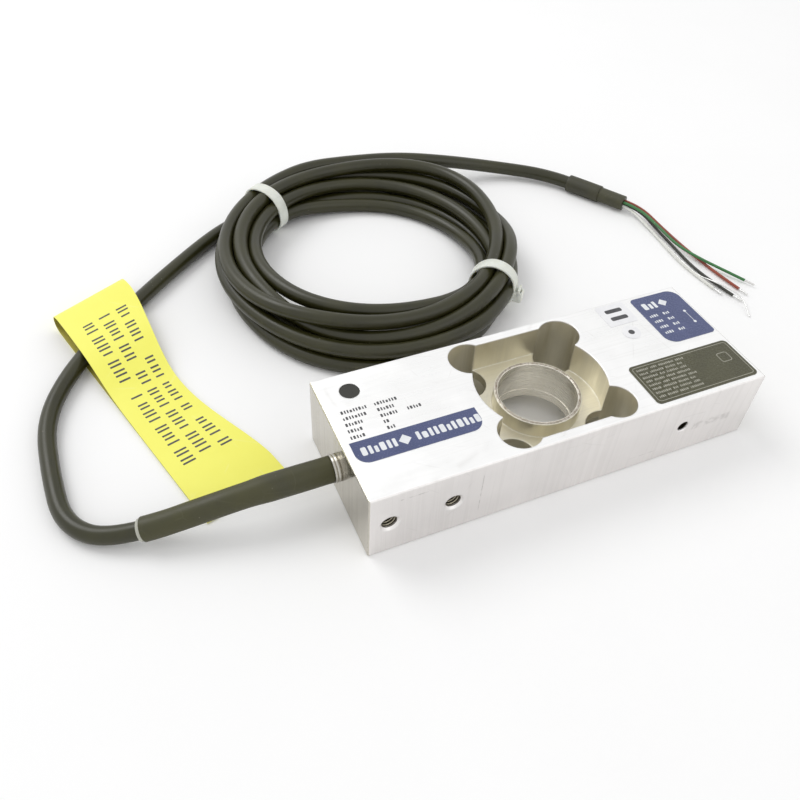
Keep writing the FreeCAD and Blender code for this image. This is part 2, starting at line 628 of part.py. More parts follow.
def make_tag():
    """Model the folded tag as a thin strip that loops round the cable."""
    side = Vector(-TAG_HEADING.y, TAG_HEADING.x, 0)
    width = S["tag_wide"]
    base = side * (width / 2 - S["tag_edge"])
    points = [tuple(base + TAG_HEADING * along + Vector(0, 0, up)) for along, up in TAG_PROFILE]
    edges, _ = rounded_edges(points, TAG_RADII)
    half, thin = side * (width / 2), Vector(0, 0, S["tag_thick"] / 2)
    start = edges[0].valueAt(edges[0].FirstParameter)
    corners = [start - half - thin, start + half - thin, start + half + thin, start - half + thin]
    section = Part.makePolygon(corners + corners[:1])
    tag = doc.addObject("Part::Feature", "Tag")
    tag.Shape = Part.Wire(edges).makePipeShell([section], True, False)
    node(tag, "handling_tag")
    print("  handling_tag strip length %.1f" % sum(edge.Length for edge in edges))


# ---- labels --------------------------------------------------------------------------------------

LOBE_EDGE = "Sizes.lobe_x + Sizes.lobe_radius"
WIRING_LEFT = "Sizes.block_long / 2 - Sizes.wiring_end - Sizes.wiring_long"
# Each label's sides, left, right, front and back, then the corner sizes from the front left corner
# anticlockwise.
LABELS = {
    "name_strip": (
        "Sizes.strip_end - Sizes.block_long / 2",
        "Sizes.pocket_x - %s - Sizes.strip_lobe" % LOBE_EDGE.replace("+", "-"),
        "Sizes.strip_front - Sizes.block_wide / 2",
        "Sizes.strip_front + Sizes.strip_wide - Sizes.block_wide / 2",
        ("strip_round", "strip_round", None, None)),
    "wiring_label": (
        WIRING_LEFT, "Sizes.block_long / 2 - Sizes.wiring_end",
        "Sizes.plate_front + Sizes.plate_wide + Sizes.wiring_plate - Sizes.block_wide / 2",
        "Sizes.block_wide / 2 - Sizes.wiring_back",
        ("wiring_round", "wiring_nip", "wiring_round", "wiring_nip")),
    "data_plate": (
        "Sizes.pocket_x + %s + Sizes.plate_lobe" % LOBE_EDGE,
        "Sizes.block_long / 2 - Sizes.plate_end",
        "Sizes.plate_front - Sizes.block_wide / 2",
        "Sizes.plate_front + Sizes.plate_wide - Sizes.block_wide / 2",
        ("plate_round",) * 4),
    "square_sticker": (
        WIRING_LEFT + " - Sizes.square_wiring - Sizes.square_long",
        WIRING_LEFT + " - Sizes.square_wiring",
        "Sizes.block_wide / 2 - Sizes.square_back - Sizes.square_wide",
        "Sizes.block_wide / 2 - Sizes.square_back",
        ("square_round",) * 4),
}


def value_of(expression):
    """Work out an expression of named sizes, by the sheet itself."""
    return float(sheet.evalExpression(expression))


def make_labels():
    """Model the thin labels on the top face."""
    for label, (left, right, front, back, rounds) in LABELS.items():
        x0, x1, y0, y1 = (value_of(side) for side in (left, right, front, back))
        body = new_body(label)
        outline = new_sketch(body, "XY_Plane", TOP)
        add_rectangle(outline, left, right, front, back, (x0, x1, y0, y1))
        feature(body, "Pad", outline, "Sizes.label_thick")
        corners = [(x0, y0), (x1, y0), (x1, y1), (x0, y1)]
        for name in sorted(set(rounds) - {None}):
            round_corners(body, [c for c, size in zip(corners, rounds) if size == name], name)
    node(round_bar("Sizes.dot_radius", "Sizes.label_thick", WIRING_LEFT + " - Sizes.dot_wiring",
                   "Sizes.block_wide / 2 - Sizes.dot_back", TOP), "round_sticker")


def round_corners(body, corners, name):
    """Round the upright edges that stand at these corners by one named size."""
    def upright(edge):
        box = edge.BoundBox
        near = [abs(box.XMin - x) + abs(box.YMin - y) < 1e-3 for x, y in corners]
        return box.ZLength > S["label_thick"] / 2 and box.XLength < 1e-4 and any(near)

    base = body.Tip
    fillet = body.newObject("PartDesign::Fillet", "Fillet")
    fillet.Base = (base, edges_where(base.Shape, upright))
    fillet.setExpression("Radius", "Sizes." + name)
    doc.recompute()


make_spring_element()
make_sealed_ring()
make_inner_wiring()
make_cable_outlet()
make_cable()
make_wires()
make_tag()
make_labels()
doc.recompute()

os.makedirs("parts", exist_ok=True)
for item in doc.Objects:
    assert "Invalid" not in item.State and "Error" not in item.State, (item.Name, item.State)
for item in NODES:
    shape = item.Shape
    assert not shape.isNull() and shape.isValid() and shape.Volume > 0, item.Label
    shape.exportStep("parts/%s.step" % item.Label)
    box = shape.BoundBox
    print("%-17s solids %d volume %9.1f  x %7.1f %7.1f  y %7.1f %7.1f  z %6.2f %6.2f"
          % (item.Label, len(shape.Solids), shape.Volume, box.XMin, box.XMax, box.YMin, box.YMax,
             box.ZMin, box.ZMax))
print("nodes", len(NODES))
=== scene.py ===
"""Looks of a single point load cell: a ground steel block with a sealed gauge ring, and its cable.

Every length is in metres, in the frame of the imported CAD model: X along the block, Y across it,
Z up, with the origin at the centre of the block's underside.
"""

import logging
import math
from dataclasses import dataclass, field
from enum import Enum
from typing import Callable, Iterable, Sequence

import bpy
import numpy as np
from mathutils import Matrix, Vector, noise


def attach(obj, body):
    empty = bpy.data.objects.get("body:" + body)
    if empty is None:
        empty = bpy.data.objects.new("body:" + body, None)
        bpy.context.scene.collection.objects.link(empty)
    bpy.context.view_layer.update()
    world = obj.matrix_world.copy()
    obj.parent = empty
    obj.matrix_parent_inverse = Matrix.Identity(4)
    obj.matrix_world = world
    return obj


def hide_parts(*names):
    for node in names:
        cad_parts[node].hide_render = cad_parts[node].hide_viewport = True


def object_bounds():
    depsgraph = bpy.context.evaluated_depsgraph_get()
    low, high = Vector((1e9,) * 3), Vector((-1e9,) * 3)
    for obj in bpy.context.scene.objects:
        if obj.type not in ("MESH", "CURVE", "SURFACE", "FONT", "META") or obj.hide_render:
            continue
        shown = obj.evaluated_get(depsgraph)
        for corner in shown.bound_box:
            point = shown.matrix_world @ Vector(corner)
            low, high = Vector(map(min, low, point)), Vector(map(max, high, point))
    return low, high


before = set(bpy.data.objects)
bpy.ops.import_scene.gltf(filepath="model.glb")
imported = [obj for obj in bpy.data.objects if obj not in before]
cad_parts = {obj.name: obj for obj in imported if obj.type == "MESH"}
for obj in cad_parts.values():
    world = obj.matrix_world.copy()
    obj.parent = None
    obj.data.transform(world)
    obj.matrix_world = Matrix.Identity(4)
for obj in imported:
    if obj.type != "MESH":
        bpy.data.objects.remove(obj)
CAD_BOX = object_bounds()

LOG = logging.getLogger("load_cell")
BODY = "root"
Pair = tuple[float, float]
Point = tuple[float, float, float]
Colour = tuple[float, float, float]
Node, Socket, Tree = bpy.types.Node, bpy.types.NodeSocket, bpy.types.NodeTree
Piece = bpy.types.Object
WHITE: Colour = (1.0, 1.0, 1.0)
VALUE = "NodeSocketFloat"
Carry = Callable[[float, float, float], Sequence[float]]


class Slot(Enum):
    """Material slots of the record, one named by each finish."""

    STAINLESS = "stainless"
    SLEEVE_STEEL = "sleeve_steel"
    WELD = "weld"
    GAUGE_FILM = "gauge_film"
    BOARD = "board"
    RESISTOR = "resistor"
    POTTING = "potting"
    INNER_WIRE = "inner_wire"
    SEAL_RUBBER = "seal_rubber"
    GLAND_STEEL = "gland_steel"
    CABLE_JACKET = "cable_jacket"
    BEND_JACKET = "bend_jacket"
    LINER_CLEAR = "liner_clear"
    TIE_NATURAL = "tie_natural"
    SHRINK_BLACK = "shrink_black"
    SHRINK_OLIVE = "shrink_olive"
    CORE_RED = "core_red"
    CORE_GREEN = "core_green"
    CORE_BLACK = "core_black"
    CORE_WHITE = "core_white"
    TINNED = "tinned"
    TAG_FILM = "tag_film"
    LABEL_BLUE = "label_blue"
    PLATE_OLIVE = "plate_olive"
    STICKER_WHITE = "sticker_white"
    INK_DARK = "ink_dark"
    INK_LIGHT = "ink_light"


# ---- studio: camera, light and floor

@dataclass
class Studio:
    """The camera, the lamps, the surroundings and the floor."""

    place: Point = (-0.128974, -0.154085, 0.214832)
    looking: Point = (0.30501, 0.62562, -0.71803)
    upward: Point = (0.25782, 0.67156, 0.69465)
    lens_mm: float = 35.357
    aim: Point = (0.0, 0.05, 0.0)
    lamps: tuple = (("key_lamp", (-0.55, 0.85, 1.15), 0.9, 6.2), ("fill_lamp", (0.5, -0.9, 0.9), 1.2, 1.6))
    surround_level: float = 0.80
    floor_half: float = 3.0
    floor_drop: float = 0.00012

    def build_camera(self) -> None:
        """Make the camera and give it to the scene."""
        ahead = Vector(self.looking).normalized()
        side = ahead.cross(Vector(self.upward)).normalized()
        above = side.cross(ahead)
        turn = Matrix((side, above, -ahead)).transposed().to_4x4()
        data = bpy.data.cameras.new("camera")
        data.lens = self.lens_mm
        data.clip_start, data.clip_end = 0.01, 20.0
        camera = bpy.data.objects.new("camera", data)
        camera.matrix_world = Matrix.Translation(self.place) @ turn
        bpy.context.scene.collection.objects.link(camera)
        bpy.context.scene.camera = camera

    def build_world(self) -> None:
        """White surroundings for the eye and for gloss, softer ones for diffuse light."""
        world = bpy.data.worlds.new("studio")
        bpy.context.scene.world = world
        world.use_nodes = True
        graph = Graph(world.node_tree, clear=True)
        path = graph.add("LightPath")
        shown = graph.calc("MAXIMUM", path.outputs["Is Camera Ray"], path.outputs["Is Transmission Ray"])
        level = graph.blend_value(shown, self.surround_level, 1.0)
        level = graph.blend_value(path.outputs["Is Glossy Ray"], level, 1.0)
        surround = graph.add("Background", {"Color": rgba(WHITE), "Strength": level})
        graph.join(surround.outputs[0], graph.add("OutputWorld").inputs["Surface"])

    def build_lamps(self) -> None:
        """One large soft key lamp from behind on the left, and a weak one opposite."""
        for name, place, size, watts in self.lamps:
            data = bpy.data.lights.new(name, "AREA")
            data.shape, data.size, data.energy = "DISK", size, watts
            lamp = bpy.data.objects.new(name, data)
            lamp.location = place
            lamp.rotation_mode = "QUATERNION"
            lamp.rotation_quaternion = (Vector(self.aim) - Vector(place)).to_track_quat("-Z", "Y")
            bpy.context.scene.collection.objects.link(lamp)

    def build_floor(self) -> None:
        """Lay the pale floor under the lowest point of the CAD model."""
        half, low = self.floor_half, CAD_BOX[0].z - self.floor_drop
        corners = [(-half, -half, low), (half, -half, low), (half, half, low), (-half, half, low)]
        mesh = bpy.data.meshes.new("floor")
        mesh.from_pydata(corners, [], [(0, 1, 2, 3)])
        mesh.materials.append(FLOOR_PAPER.material())
        floor = bpy.data.objects.new("floor", mesh)
        bpy.context.scene.collection.objects.link(floor)

    def build(self) -> None:
        """Make everything that isn't part of the load cell."""
        bpy.context.scene.view_settings.view_transform = "Standard"
        self.build_camera()
        self.build_world()
        self.build_lamps()
        self.build_floor()


# ---- node trees

class Graph:
    """Fills a node tree by short calls."""

    def __init__(self, tree: Tree, clear: bool = False) -> None:
        """Take a tree, and empty it if asked.

        Args:
            tree: The tree to fill.
            clear: Empty it first.
        """
        self.tree = tree
        if clear:
            tree.nodes.clear()

    def join(self, source: Socket, target: Socket) -> None:
        """Link two sockets."""
        self.tree.links.new(source, target)

    def add(self, kind: str, inputs: dict | None = None, **settings: object) -> Node:
        """Add a shader node.

        Args:
            kind: Its type, without the leading ShaderNode.
            inputs: Values or sockets for its inputs, by name or number.
            settings: Properties of the node itself.

        Returns:
            The node.
        """
        prefix = "" if kind.startswith("NodeGroup") else "ShaderNode"
        node = self.tree.nodes.new(prefix + kind)
        for name, value in settings.items():
            setattr(node, name, value)
        for key, value in (inputs or {}).items():
            if isinstance(value, Socket):
                self.join(value, node.inputs[key])
            else:
                node.inputs[key].default_value = value
        return node

    def calc(self, operation: str, first: object, second: object = 0.0) -> Socket:
        """A math node's result."""
        return self.add("Math", {0: first, 1: second}, operation=operation).outputs[0]

    def times(self, first: object, second: object) -> Socket:
        """Two values multiplied."""
        return self.calc("MULTIPLY", first, second)

    def plus(self, first: object, second: object) -> Socket:
        """Two values added."""
        return self.calc("ADD", first, second)

    def minus(self, first: object, second: object) -> Socket:
        """The second value taken from the first."""
        return self.calc("SUBTRACT", first, second)

    def ramp(self, value: object, low: float, high: float, start: float = 0.0, end: float = 1.0) -> Socket:
        """A value carried smoothly from one range to another, held at its ends."""
        inputs = {0: value, 1: low, 2: high, 3: start, 4: end}
        return self.add("MapRange", inputs, interpolation_type="SMOOTHSTEP").outputs[0]

    def blend(self, share: object, first: object, second: object, how: str = "MIX") -> Socket:
        """Two colours mixed."""
        node = self.add("Mix", {0: share, 6: first, 7: second}, data_type="RGBA", blend_type=how)
        return node.outputs[2]

    def blend_value(self, share: object, first: object, second: object) -> Socket:
        """Two values mixed."""
        return self.add("Mix", {0: share, 2: first, 3: second}, data_type="FLOAT").outputs[0]

    def stretch(self, vector: Socket, factors: Point) -> Socket:
        """A vector scaled along each axis."""
        return self.add("VectorMath", {0: vector, 1: factors}, operation="MULTIPLY").outputs[0]

    def noise(self, vector: Socket, scale: object, detail: float = 3.0,
              rough: float = 0.55) -> Socket:
        """A noise texture's value."""
        inputs = {"Vector": vector, "Scale": scale, "Detail": detail, "Roughness": rough}
        return self.add("TexNoise", inputs).outputs[0]

    def effect(self, name: str, vector: Socket, **inputs: object) -> Node:
        """Place a shared effect with its own values."""
        return self.add("Group", {"Vector": vector, **inputs}, node_tree=Effects.get(name))

    def tint(self, colour: Socket, mask: Socket, share: float, tone: Colour) -> Socket:
        """A colour carried towards a tone by a share of a mask."""
        return self.blend(self.times(mask, share), colour, rgba(tone))

    def patches(self, vector: Socket, scale: float) -> Socket:
        """The shared soft patches, 0 to 1."""
        return self.effect("blotches", vector, Scale=scale).outputs[0]

    def cover(self, shader: Node, colour: Socket, rough: Socket) -> None:
        """Give a shader its colour and its roughness."""
        self.join(colour, shader.inputs["Base Color"])
        self.join(rough, shader.inputs["Roughness"])

    def emboss(self, shader: Node, height: Socket, strength: float, distance: float,
               normal: Socket | None = None) -> None:
        """Give a shader a bump.

        Args:
            shader: The shader.
            height: The height of the surface, 0 to 1.
            strength: How strongly it shows.
            distance: The depth that a height of 1 stands for.
            normal: The normal that it is laid on; the surface's own if left out.
        """
        inputs = {"Height": height, "Strength": strength, "Distance": distance}
        if normal is not None:
            inputs["Normal"] = normal
        self.join(self.add("Bump", inputs).outputs[0], shader.inputs["Normal"])


def effect_tree(name: str, inputs: dict[str, object],
                outputs: dict[str, str]) -> tuple[Graph, Node, Node]:
    """Start the node group of an effect.

    Args:
        name: The group's name.
        inputs: Input names, each with its default: None for a vector, a number for a value.
        outputs: Output names, each with its socket type.

    Returns:
        The graph to fill, its input node and its output node.
    """
    tree = bpy.data.node_groups.new(name, "ShaderNodeTree")
    for label, default in inputs.items():
        kind = "NodeSocketVector" if default is None else VALUE
        socket = tree.interface.new_socket(name=label, in_out="INPUT", socket_type=kind)
        if default is not None:
            socket.default_value = default
    for label, kind in outputs.items():
        tree.interface.new_socket(name=label, in_out="OUTPUT", socket_type=kind)
    graph = Graph(tree)
    return graph, graph.add("NodeGroupInput"), graph.add("NodeGroupOutput")


class Effects:
    """Surface effects that several finishes share, each built once."""

    made: dict[str, Tree] = {}

    @classmethod
    def get(cls, name: str) -> Tree:
        """The named effect, built on first use.

        Args:
            name: The effect's name.

        Returns:
            Its node group.
        """
        if name not in cls.made:
            cls.made[name] = getattr(cls, "_" + name)()
        return cls.made[name]

    @staticmethod
    def _blotches() -> Tree:
        """Soft uneven patches: 0 to 1 in two sizes.

        Returns:
            The node group.
        """
        graph, given, out = effect_tree("blotches", {"Vector": None, "Scale": 60.0}, {"Blotches": VALUE})
        vector, scale = given.outputs["Vector"], given.outputs["Scale"]
        large = graph.noise(vector, scale, 2.0)
        fine = graph.noise(vector, graph.times(scale, 4.3), 3.0)
        both = graph.plus(graph.times(large, 0.7), graph.times(fine, 0.3))
        graph.join(graph.ramp(both, 0.32, 0.68), out.inputs["Blotches"])
        return graph.tree

    @staticmethod
    def _grain() -> Tree:
        """Fine pebbling for moulded and extruded plastic, as a height.

        Returns:
            The node group.
        """
        graph, given, out = effect_tree("grain", {"Vector": None, "Scale": 2500.0},
                                        {"Height": VALUE, "Pits": VALUE})
        fine = graph.noise(given.outputs["Vector"], given.outputs["Scale"], 4.0, 0.6)
        graph.join(fine, out.inputs["Height"])
        graph.join(graph.ramp(fine, 0.30, 0.42, 1.0, 0.0), out.inputs["Pits"])
        return graph.tree

    @staticmethod
    def _ground_lines() -> Tree:
        """Straight fine lines left by grinding, along the vector's X.

        Returns:
            The node group.
        """
        graph, given, out = effect_tree("ground_lines", {"Vector": None, "Scale": 900.0}, {"Lines": VALUE})
        drawn = graph.stretch(given.outputs["Vector"], (0.018, 1.0, 1.0))
        fine = graph.noise(drawn, given.outputs["Scale"], 3.0, 0.7)
        coarse = graph.noise(drawn, graph.times(given.outputs["Scale"], 0.22), 2.0, 0.5)
        both = graph.plus(graph.times(fine, 0.65), graph.times(coarse, 0.35))
        graph.join(graph.ramp(both, 0.3, 0.7), out.inputs["Lines"])
        return graph.tree

    @staticmethod
    def _scratches() -> Tree:
        """Sparse handling scratches in crossing directions: 0 to 1.

        Returns:
            The node group.
        """
        graph, given, out = effect_tree(
            "scratches", {"Vector": None, "Scale": 60.0, "Width": 0.012}, {"Scratches": VALUE})
        total: object = 0.0
        for angle, long in ((0.5, 0.12), (-0.9, 0.09), (1.35, 0.16)):
            turned = graph.add("VectorRotate", {"Vector": given.outputs["Vector"], "Angle": angle},
                               rotation_type="Z_AXIS").outputs[0]
            sway = graph.add("TexNoise", {"Vector": turned, "Scale": 25.0}).outputs[1]
            bent = graph.add("VectorMath", {0: turned, 1: graph.stretch(sway, (0.004, 0.004, 0.004))},
                             operation="ADD").outputs[0]
            drawn = graph.stretch(bent, (long, 1.0, 1.0))
            cells = graph.add("TexVoronoi", {"Vector": drawn, "Scale": given.outputs["Scale"]},
                              feature="DISTANCE_TO_EDGE").outputs["Distance"]
            span = {0: cells, 1: 0.0, 2: given.outputs["Width"], 3: 1.0, 4: 0.0}
            line = graph.add("MapRange", span).outputs[0]
            gate = graph.ramp(graph.noise(turned, 90.0, 1.0), 0.54, 0.66)
            total = graph.calc("MAXIMUM", total, graph.times(line, gate))
        graph.join(total, out.inputs["Scratches"])
        return graph.tree

    @staticmethod
    def _edge_wear() -> Tree:
        """Where a surface turns over an edge: 0 on the flat, 1 at the edge.

        Returns:
            The node group.
        """
        graph, given, out = effect_tree("edge_wear", {"Vector": None, "Radius": 0.0006},
                                        {"Edge": VALUE, "Normal": "NodeSocketVector"})
        rounded = graph.add("Bevel", {"Radius": given.outputs["Radius"]}, samples=4)
        plain = graph.add("NewGeometry").outputs["Normal"]
        match = graph.add("VectorMath", {0: rounded.outputs[0], 1: plain}, operation="DOT_PRODUCT")
        turned = graph.ramp(match.outputs["Value"], 0.99, 0.80)
        ragged = graph.ramp(graph.noise(given.outputs["Vector"], 900.0, 3.0), 0.3, 0.6, 0.35, 1.0)
        graph.join(graph.times(turned, ragged), out.inputs["Edge"])
        graph.join(rounded.outputs[0], out.inputs["Normal"])
        return graph.tree

    @staticmethod
    def _specks() -> Tree:
        """Scattered small specks of dust and lint: 0 to 1.

        Returns:
            The node group.
        """
        graph, given, out = effect_tree(
            "specks", {"Vector": None, "Scale": 700.0, "Amount": 0.1}, {"Specks": VALUE})
        cells = graph.add("TexVoronoi", {k: given.outputs[k] for k in ("Vector", "Scale")})
        near = graph.ramp(cells.outputs["Distance"], 0.12, 0.3, 1.0, 0.0)
        pick = graph.add("SeparateColor", {0: cells.outputs["Color"]}).outputs[0]
        chosen = graph.calc("LESS_THAN", pick, given.outputs["Amount"])
        graph.join(graph.times(near, chosen), out.inputs["Specks"])
        return graph.tree


# ---- finishes

def rgba(colour: Colour) -> tuple[float, float, float, float]:
    """A colour with full alpha."""
    return (*colour, 1.0)


@dataclass(frozen=True)
class Finish:
    """A named finish of one record slot."""

    name: str
    slot: Slot | None

    def material(self) -> bpy.types.Material:
        """The material of this finish, made on first use.

        Returns:
            The material.
        """
        label = "finish_" + self.name
        found = bpy.data.materials.get(label)
        if found is not None:
            return found
        made = bpy.data.materials.new(label)
        made.use_nodes = True
        graph = Graph(made.node_tree, clear=True)
        shader = graph.add("BsdfPrincipled")
        out = graph.add("OutputMaterial")
        graph.join(shader.outputs[0], out.inputs["Surface"])
        where = graph.add("TexCoord").outputs["Object"]
        self.fill(graph, shader, where)
        return made

    def fill(self, graph: Graph, shader: Node, where: Socket) -> None:
        """Give the shader its colour, roughness and bump."""
        raise NotImplementedError


@dataclass(frozen=True)
class PaperFinish(Finish):
    """The matt pale sheet that the load cell lies on."""

    colour: Colour = (0.97, 0.97, 0.97)

    def fill(self, graph: Graph, shader: Node, where: Socket) -> None:
        """A plain, nearly even sheet.

        Args:
            graph: The material's graph.
            shader: The shader to dress.
            where: The object coordinates.
        """
        pale = rgba(tuple(c * 0.99 for c in self.colour))
        colour = graph.blend(graph.patches(where, 9.0), pale, rgba(self.colour))
        graph.join(colour, shader.inputs["Base Color"])
        shader.inputs["Roughness"].default_value = 0.9
        shader.inputs["Specular IOR Level"].default_value = 0.1


@dataclass(frozen=True)
class PlasticFinish(Finish):
    """Moulded, extruded or heat-shrunk plastic and rubber."""

    colour: Colour = (0.5, 0.5, 0.5)
    shade: Colour = (0.4, 0.4, 0.4)
    rough: float = 0.45
    rough_span: float = 0.1
    patch_scale: float = 90.0
    grain_scale: float = 2500.0
    bump: float = 0.15
    specks: float = 0.04
    speck_colour: Colour = (0.4, 0.4, 0.38)
    scratch: float = 0.0
    glow: float = 0.0

    def fill(self, graph: Graph, shader: Node, where: Socket) -> None:
        """Patchy colour, dust, fine scratches and pebbled bump.

        Args:
            graph: The material's graph.
            shader: The shader to dress.
            where: The object coordinates.
        """
        patches = graph.patches(where, self.patch_scale)
        grain = graph.effect("grain", where, Scale=self.grain_scale)
        colour = graph.blend(patches, rgba(self.shade), rgba(self.colour))
        dust = graph.effect("specks", where, Scale=900.0, Amount=self.specks).outputs[0]
        colour = graph.tint(colour, dust, 0.6, self.speck_colour)
        rough = graph.blend_value(patches, self.rough, self.rough + self.rough_span)
        rough = graph.plus(rough, graph.times(grain.outputs["Pits"], 0.12))
        height = grain.outputs["Height"]
        if self.scratch > 0.0:
            marks = graph.effect("scratches", where, Scale=90.0, Width=0.02).outputs[0]
            colour = graph.tint(colour, marks, self.scratch, self.speck_colour)
            height = graph.minus(height, graph.times(marks, self.scratch))
        graph.cover(shader, colour, rough)
        graph.emboss(shader, height, self.bump, 0.0002)
        if self.glow > 0.0:
            shader.inputs["Subsurface Weight"].default_value = self.glow
            shader.inputs["Subsurface Radius"].default_value = (0.002, 0.0018, 0.0015)
            shader.inputs["Subsurface Scale"].default_value = 0.6


@dataclass(frozen=True)
class TurnedFinish(Finish):
    """Turned or drawn steel, with fine rings about an upright axis or along X."""

    colour: Colour = (0.7, 0.7, 0.7)
    shade: Colour = (0.6, 0.6, 0.6)
    rough: float = 0.28
    ring_scale: float = 2600.0
    across: Point = (0.02, 0.02, 1.0)
    bump: float = 0.1
    stain: float = 0.3

    def fill(self, graph: Graph, shader: Node, where: Socket) -> None:
        """Rings in roughness and height, with faint staining.

        Args:
            graph: The material's graph.
            shader: The shader to dress.
            where: The object coordinates.
        """
        shader.inputs["Metallic"].default_value = 1.0
        rings = graph.noise(graph.stretch(where, self.across), self.ring_scale, 4.0, 0.7)
        patches = graph.patches(where, 130.0)
        colour = graph.blend(graph.times(patches, self.stain), rgba(self.colour), rgba(self.shade))
        colour = graph.blend(graph.ramp(rings, 0.35, 0.6, 0.25, 0.0), colour, rgba(self.shade))
        graph.cover(shader, colour, graph.ramp(rings, 0.3, 0.7, self.rough - 0.08, self.rough + 0.1))
        wear = graph.effect("edge_wear", where, Radius=0.0003)
        graph.emboss(shader, rings, self.bump, 0.0002, wear.outputs["Normal"])


@dataclass(frozen=True)
class BlockFinish(Finish):
    """The spring element: a ground top, satin milled sides, milling marks, and painted shade: the sides a
    little darker than the top, the pocket and the tapped holes darker still, and the end faces dark with a
    painted reflection of the cable sleeve.
    """

    ground: Colour = (0.97, 0.97, 0.965)
    # milled: the satin side faces, darker than the ground top partly for their finish and partly as painted
    # shade of the sides
    milled: Colour = (0.84, 0.815, 0.80)
    # pocket: darker and yellower than the outer faces, as painted shade inside the recess
    pocket: Colour = (0.74, 0.705, 0.585)
    # end: darkened as a painted reflection of the dark cable sleeve in the polished end faces
    end: Colour = (0.55, 0.52, 0.45)
    # bored: nearly black, as painted shade inside the tapped holes
    bored: Colour = (0.10, 0.085, 0.06)
    bores: tuple = (-0.0677, -0.0457, 0.0457, 0.0677)
    bore_z: float = 0.01425
    pocket_x: float = -0.00075
    pocket_reach: float = 0.0335
    edge_skip: float = 0.0006
    half_wide: float = 0.0262
    half_long: float = 0.0745
    bore_radius: float = 0.0031
    top: float = 0.0285
    rough_top: float = 0.30
    rough_side: float = 0.36
    rough_pocket: float = 0.42
    rough_end: float = 0.15
    dull: Colour = (0.93, 0.93, 0.93)
    line_shade: Colour = (0.55, 0.54, 0.52)
    scratch_shade: Colour = (0.5, 0.48, 0.46)
    scuff_shade: Colour = (0.34, 0.32, 0.30)
    bright_edge: Colour = (0.97, 0.97, 0.97)
    marks: tuple = (  # x, half of its length, z, half of its height, softness, strength
        (-0.0361, 0.00007, 0.0150, 0.0105, 0.0001, 0.55), (0.0570, 0.0075, 0.0124, 0.0009, 0.0014, 0.30),
        (-0.0600, 0.0045, 0.0247, 0.00012, 0.0002, 0.50), (0.0300, 0.0060, 0.0052, 0.0001, 0.0002, 0.30),
    )

    def fill(self, graph: Graph, shader: Node, where: Socket) -> None:
        """Grinding lines on top, milling marks on the sides, scuffs where it was handled, painted shade on
        the sides, in the pocket and in the tapped holes, and a painted reflection on the end faces.

        Args:
            graph: The material's graph.
            shader: The shader to dress.
            where: The object coordinates.
        """
        shader.inputs["Metallic"].default_value = 1.0
        normal = graph.add("SeparateXYZ", {0: graph.add("NewGeometry").outputs["Normal"]})
        place = graph.add("SeparateXYZ", {0: where})
        is_top = graph.ramp(graph.calc("ABSOLUTE", normal.outputs["Z"]), 0.7, 0.9)
        near_pocket = self.within(graph, place, ("X", self.pocket_x), ("Y", 0.0), self.pocket_reach)
        below_top = graph.calc("LESS_THAN", place.outputs["Z"], self.top - self.edge_skip)
        above_base = graph.calc("GREATER_THAN", place.outputs["Z"], self.edge_skip)
        inside = graph.times(near_pocket, graph.times(below_top, above_base))
        between = graph.calc("LESS_THAN", graph.calc("ABSOLUTE", place.outputs["Y"]), self.half_wide)
        inside = graph.times(inside, between)
        is_end = graph.calc("GREATER_THAN", graph.calc("ABSOLUTE", place.outputs["X"]), self.half_long)
        lines = graph.effect("ground_lines", where, Scale=1100.0).outputs[0]
        turned = graph.add("VectorRotate", {"Vector": where, "Angle": math.pi / 2},
                           rotation_type="Y_AXIS").outputs[0]
        upright_lines = graph.effect("ground_lines", turned, Scale=700.0).outputs[0]
        patches = graph.patches(where, 26.0)
        marks = graph.effect("scratches", where, Scale=42.0, Width=0.01).outputs[0]
        wear = graph.effect("edge_wear", where, Radius=0.0007)
        # The side faces take the milled colour, darker than the top by their finish and by painted shade
        colour = graph.blend(is_top, rgba(self.milled), rgba(self.ground))
        # Inside the pocket: painted shade of the recess
        colour = graph.blend(inside, colour, rgba(self.pocket))
        # End faces: painted reflection of the dark cable sleeve
        colour = graph.blend(is_end, colour, rgba(self.end))
        # Tapped holes: painted shade
        colour = graph.blend(self.in_bores(graph, place, between), colour, rgba(self.bored))
        dulled = graph.blend(patches, rgba(self.dull), rgba(WHITE))
        colour = graph.blend(1.0, colour, dulled, "MULTIPLY")
        side_lines = graph.blend_value(is_top, upright_lines, lines)
        colour = graph.blend(graph.ramp(side_lines, 0.2, 0.5, 0.09, 0.0), colour, rgba(self.line_shade))
        colour = graph.tint(colour, marks, 0.16, self.scratch_shade)
        colour = graph.blend(self.scuffs(graph, place, where, is_top), colour, rgba(self.scuff_shade))
        colour = graph.tint(colour, wear.outputs["Edge"], 0.6, self.bright_edge)
        rough = graph.blend_value(is_top, self.rough_side, self.rough_top)
        rough = graph.blend_value(inside, rough, self.rough_pocket)
        rough = graph.blend_value(is_end, rough, self.rough_end)
        rough = graph.plus(rough, graph.ramp(side_lines, 0.2, 0.8, 0.07, -0.04))
        graph.cover(shader, colour, graph.plus(rough, graph.times(patches, 0.06)))
        height = graph.minus(side_lines, graph.times(marks, 0.8))
        graph.emboss(shader, height, 0.10, 0.0002, wear.outputs["Normal"])

    @staticmethod
    def within(graph: Graph, place: Node, first: tuple[str, float], second: tuple[str, float],
               reach: float) -> Socket:
        """1 inside a round bore, 0 elsewhere.

        Args:
            graph: The material's graph.
            place: The separated object coordinates.
            first: An axis across the bore and the bore's middle on it.
            second: The other axis across it and the middle on that one.
            reach: The bore's radius, and a little more.

        Returns:
            The mask.
        """
        squares = [graph.calc("POWER", graph.minus(place.outputs[axis], middle), 2.0)
                   for axis, middle in (first, second)]
        return graph.calc("LESS_THAN", graph.calc("SQRT", graph.plus(*squares)), reach)

